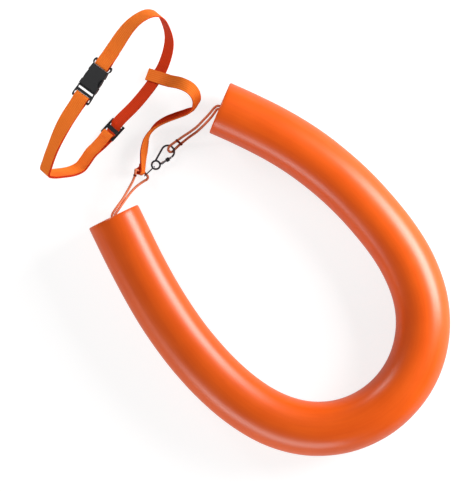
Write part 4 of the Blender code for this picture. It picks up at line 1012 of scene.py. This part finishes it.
def tether_webbing():
    """The tether: a loop round the belt, a cupped free run and an eye gathered round the cord."""
    loop, loop_edge = tether_loop()
    free = [TETHER_END + Vector(s) * TETHER_REACH for s in TETHER_SHARES]
    end, end_edge = tether_end(free[-1])
    route = loop + free + end
    free_edges = [Vector(s).normalized() for s in TETHER_EDGE_SHARES]
    edges = [loop_edge] * len(loop) + free_edges + [end_edge] * len(end)
    cups = [0.0] * len(loop) + list(TETHER_CUPS) + [0.0] * len(end)
    gathers = [1.0] * len(loop) + list(TETHER_GATHERS) + [TETHER_END_GATHER] * len(end)
    path = smooth_path(route, WEBBING_STEP)
    edges, cups, gathers = (spread(route, values, path) for values in (edges, cups, gathers))
    piece = webbing("tether_webbing", path, edges, TETHER_WIDTH, OVER, cups, gathers)
    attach(piece, "tether")
    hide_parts("tether_strap")
    opened = 2 * TETHER_LOOP_REACH + 2 * TETHER_FOLD_REACH + pi * TETHER_LOOP_RADIUS
    closed = lengths_along(path)[-1] - TETHER_TAIL - pi * TETHER_EYE_RADIUS
    loop_rows = TETHER_LOOP_ROWS + tuple(opened - row for row in reversed(TETHER_LOOP_ROWS))
    end_rows = [closed - row for row in TETHER_END_ROWS]
    lines = rows_across(path, edges, loop_rows, TETHER_WIDTH, STITCH_LIFT)
    end_width, end_lift = TETHER_WIDTH * TETHER_END_GATHER, STITCH_LIFT / TETHER_END_GATHER
    lines += rows_across(path, edges, end_rows, end_width, end_lift)
    piece = stitches("tether_stitching", lines)
    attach(piece, "tether")


# Hard parts keep their solids
def finish_solids():
    """Put the hard pieces' finishes on the frame's own solids."""
    for names, material in (
        (("buckle_receptacle", "buckle_plug", "prong_left", "prong_right"), acetal),
        (("slider",), glossy_acetal),
        (("hook_gate", "gate_pin", "gate_spring"), nickel),
        (("hook_body", "hook_link"), wire_painted_dark),
        (("gate_sleeve",), dark_nickel),
    ):
        for name in names:
            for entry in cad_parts[name].material_slots:
                entry.material = material


# Floor, lamps and world
def floor():
    """A painted floor, matt and pale, that shows white to the camera and half so in metal,
    and keeps the object's shadow."""
    bm = bmesh.new()
    corners = ((-1, -1), (1, -1), (1, 1), (-1, 1))
    bm.faces.new([bm.verts.new((x * FLOOR_REACH, y * FLOOR_REACH, -FLOOR_DROP)) for x, y in corners])
    material, tree, shader = blank_material("painted_floor")
    ray = node(tree, "ShaderNodeLightPath")
    seen = {0: ray.outputs["Is Glossy Ray"], 2: ray.outputs["Is Camera Ray"]}
    shown = node(tree, "ShaderNodeMath", {"operation": "MULTIPLY_ADD", 1: FLOOR_GLOSSY_SHARE}, seen)
    glow = node(tree, "ShaderNodeMath", {"operation": "MULTIPLY", 1: FLOOR_GLOW}, {0: shown.outputs[0]})
    shader.inputs["Base Color"].default_value = linear(FLOOR_GREY)
    shader.inputs["Roughness"].default_value = 0.9
    shader.inputs["Specular IOR Level"].default_value = 0.0
    shader.inputs["Emission Color"].default_value = linear(STUDIO_WHITE)
    tree.links.new(glow.outputs[0], shader.inputs["Emission Strength"])
    add_piece("floor", bm, [material])


def lamp(name, place, aim, size, power):
    """A rectangular softbox, or a soft-edged spot where it has no size."""
    data = bpy.data.lights.new(name, "AREA" if size else "SPOT")
    if size:
        data.shape = "RECTANGLE"
        data.size, data.size_y = size
    else:
        data.spot_size, data.spot_blend, data.shadow_soft_size = SPOT_ANGLE, SPOT_BLEND, SPOT_RADIUS
    data.energy = power
    item = bpy.data.objects.new(name, data)
    item.location = place
    item.rotation_euler = (Vector(aim) - Vector(place)).to_track_quat("-Z", "Y").to_euler()
    item.visible_camera = False
    bpy.context.scene.collection.objects.link(item)


def studio():
    """The lamps and the dim white surroundings."""
    scene = bpy.context.scene
    scene.view_settings.view_transform = "Standard"
    world = bpy.data.worlds.new("studio")
    scene.world = world
    world.use_nodes = True
    back = world.node_tree.nodes["Background"]
    back.inputs["Color"].default_value = linear(STUDIO_WHITE)
    back.inputs["Strength"].default_value = STUDIO_GLOW
    for entry in LAMPS:
        lamp(*entry)


set_camera()
end_loops()
bore_strands()
foam_stick()
belt_webbing()
tether_webbing()
finish_solids()
floor()
studio()
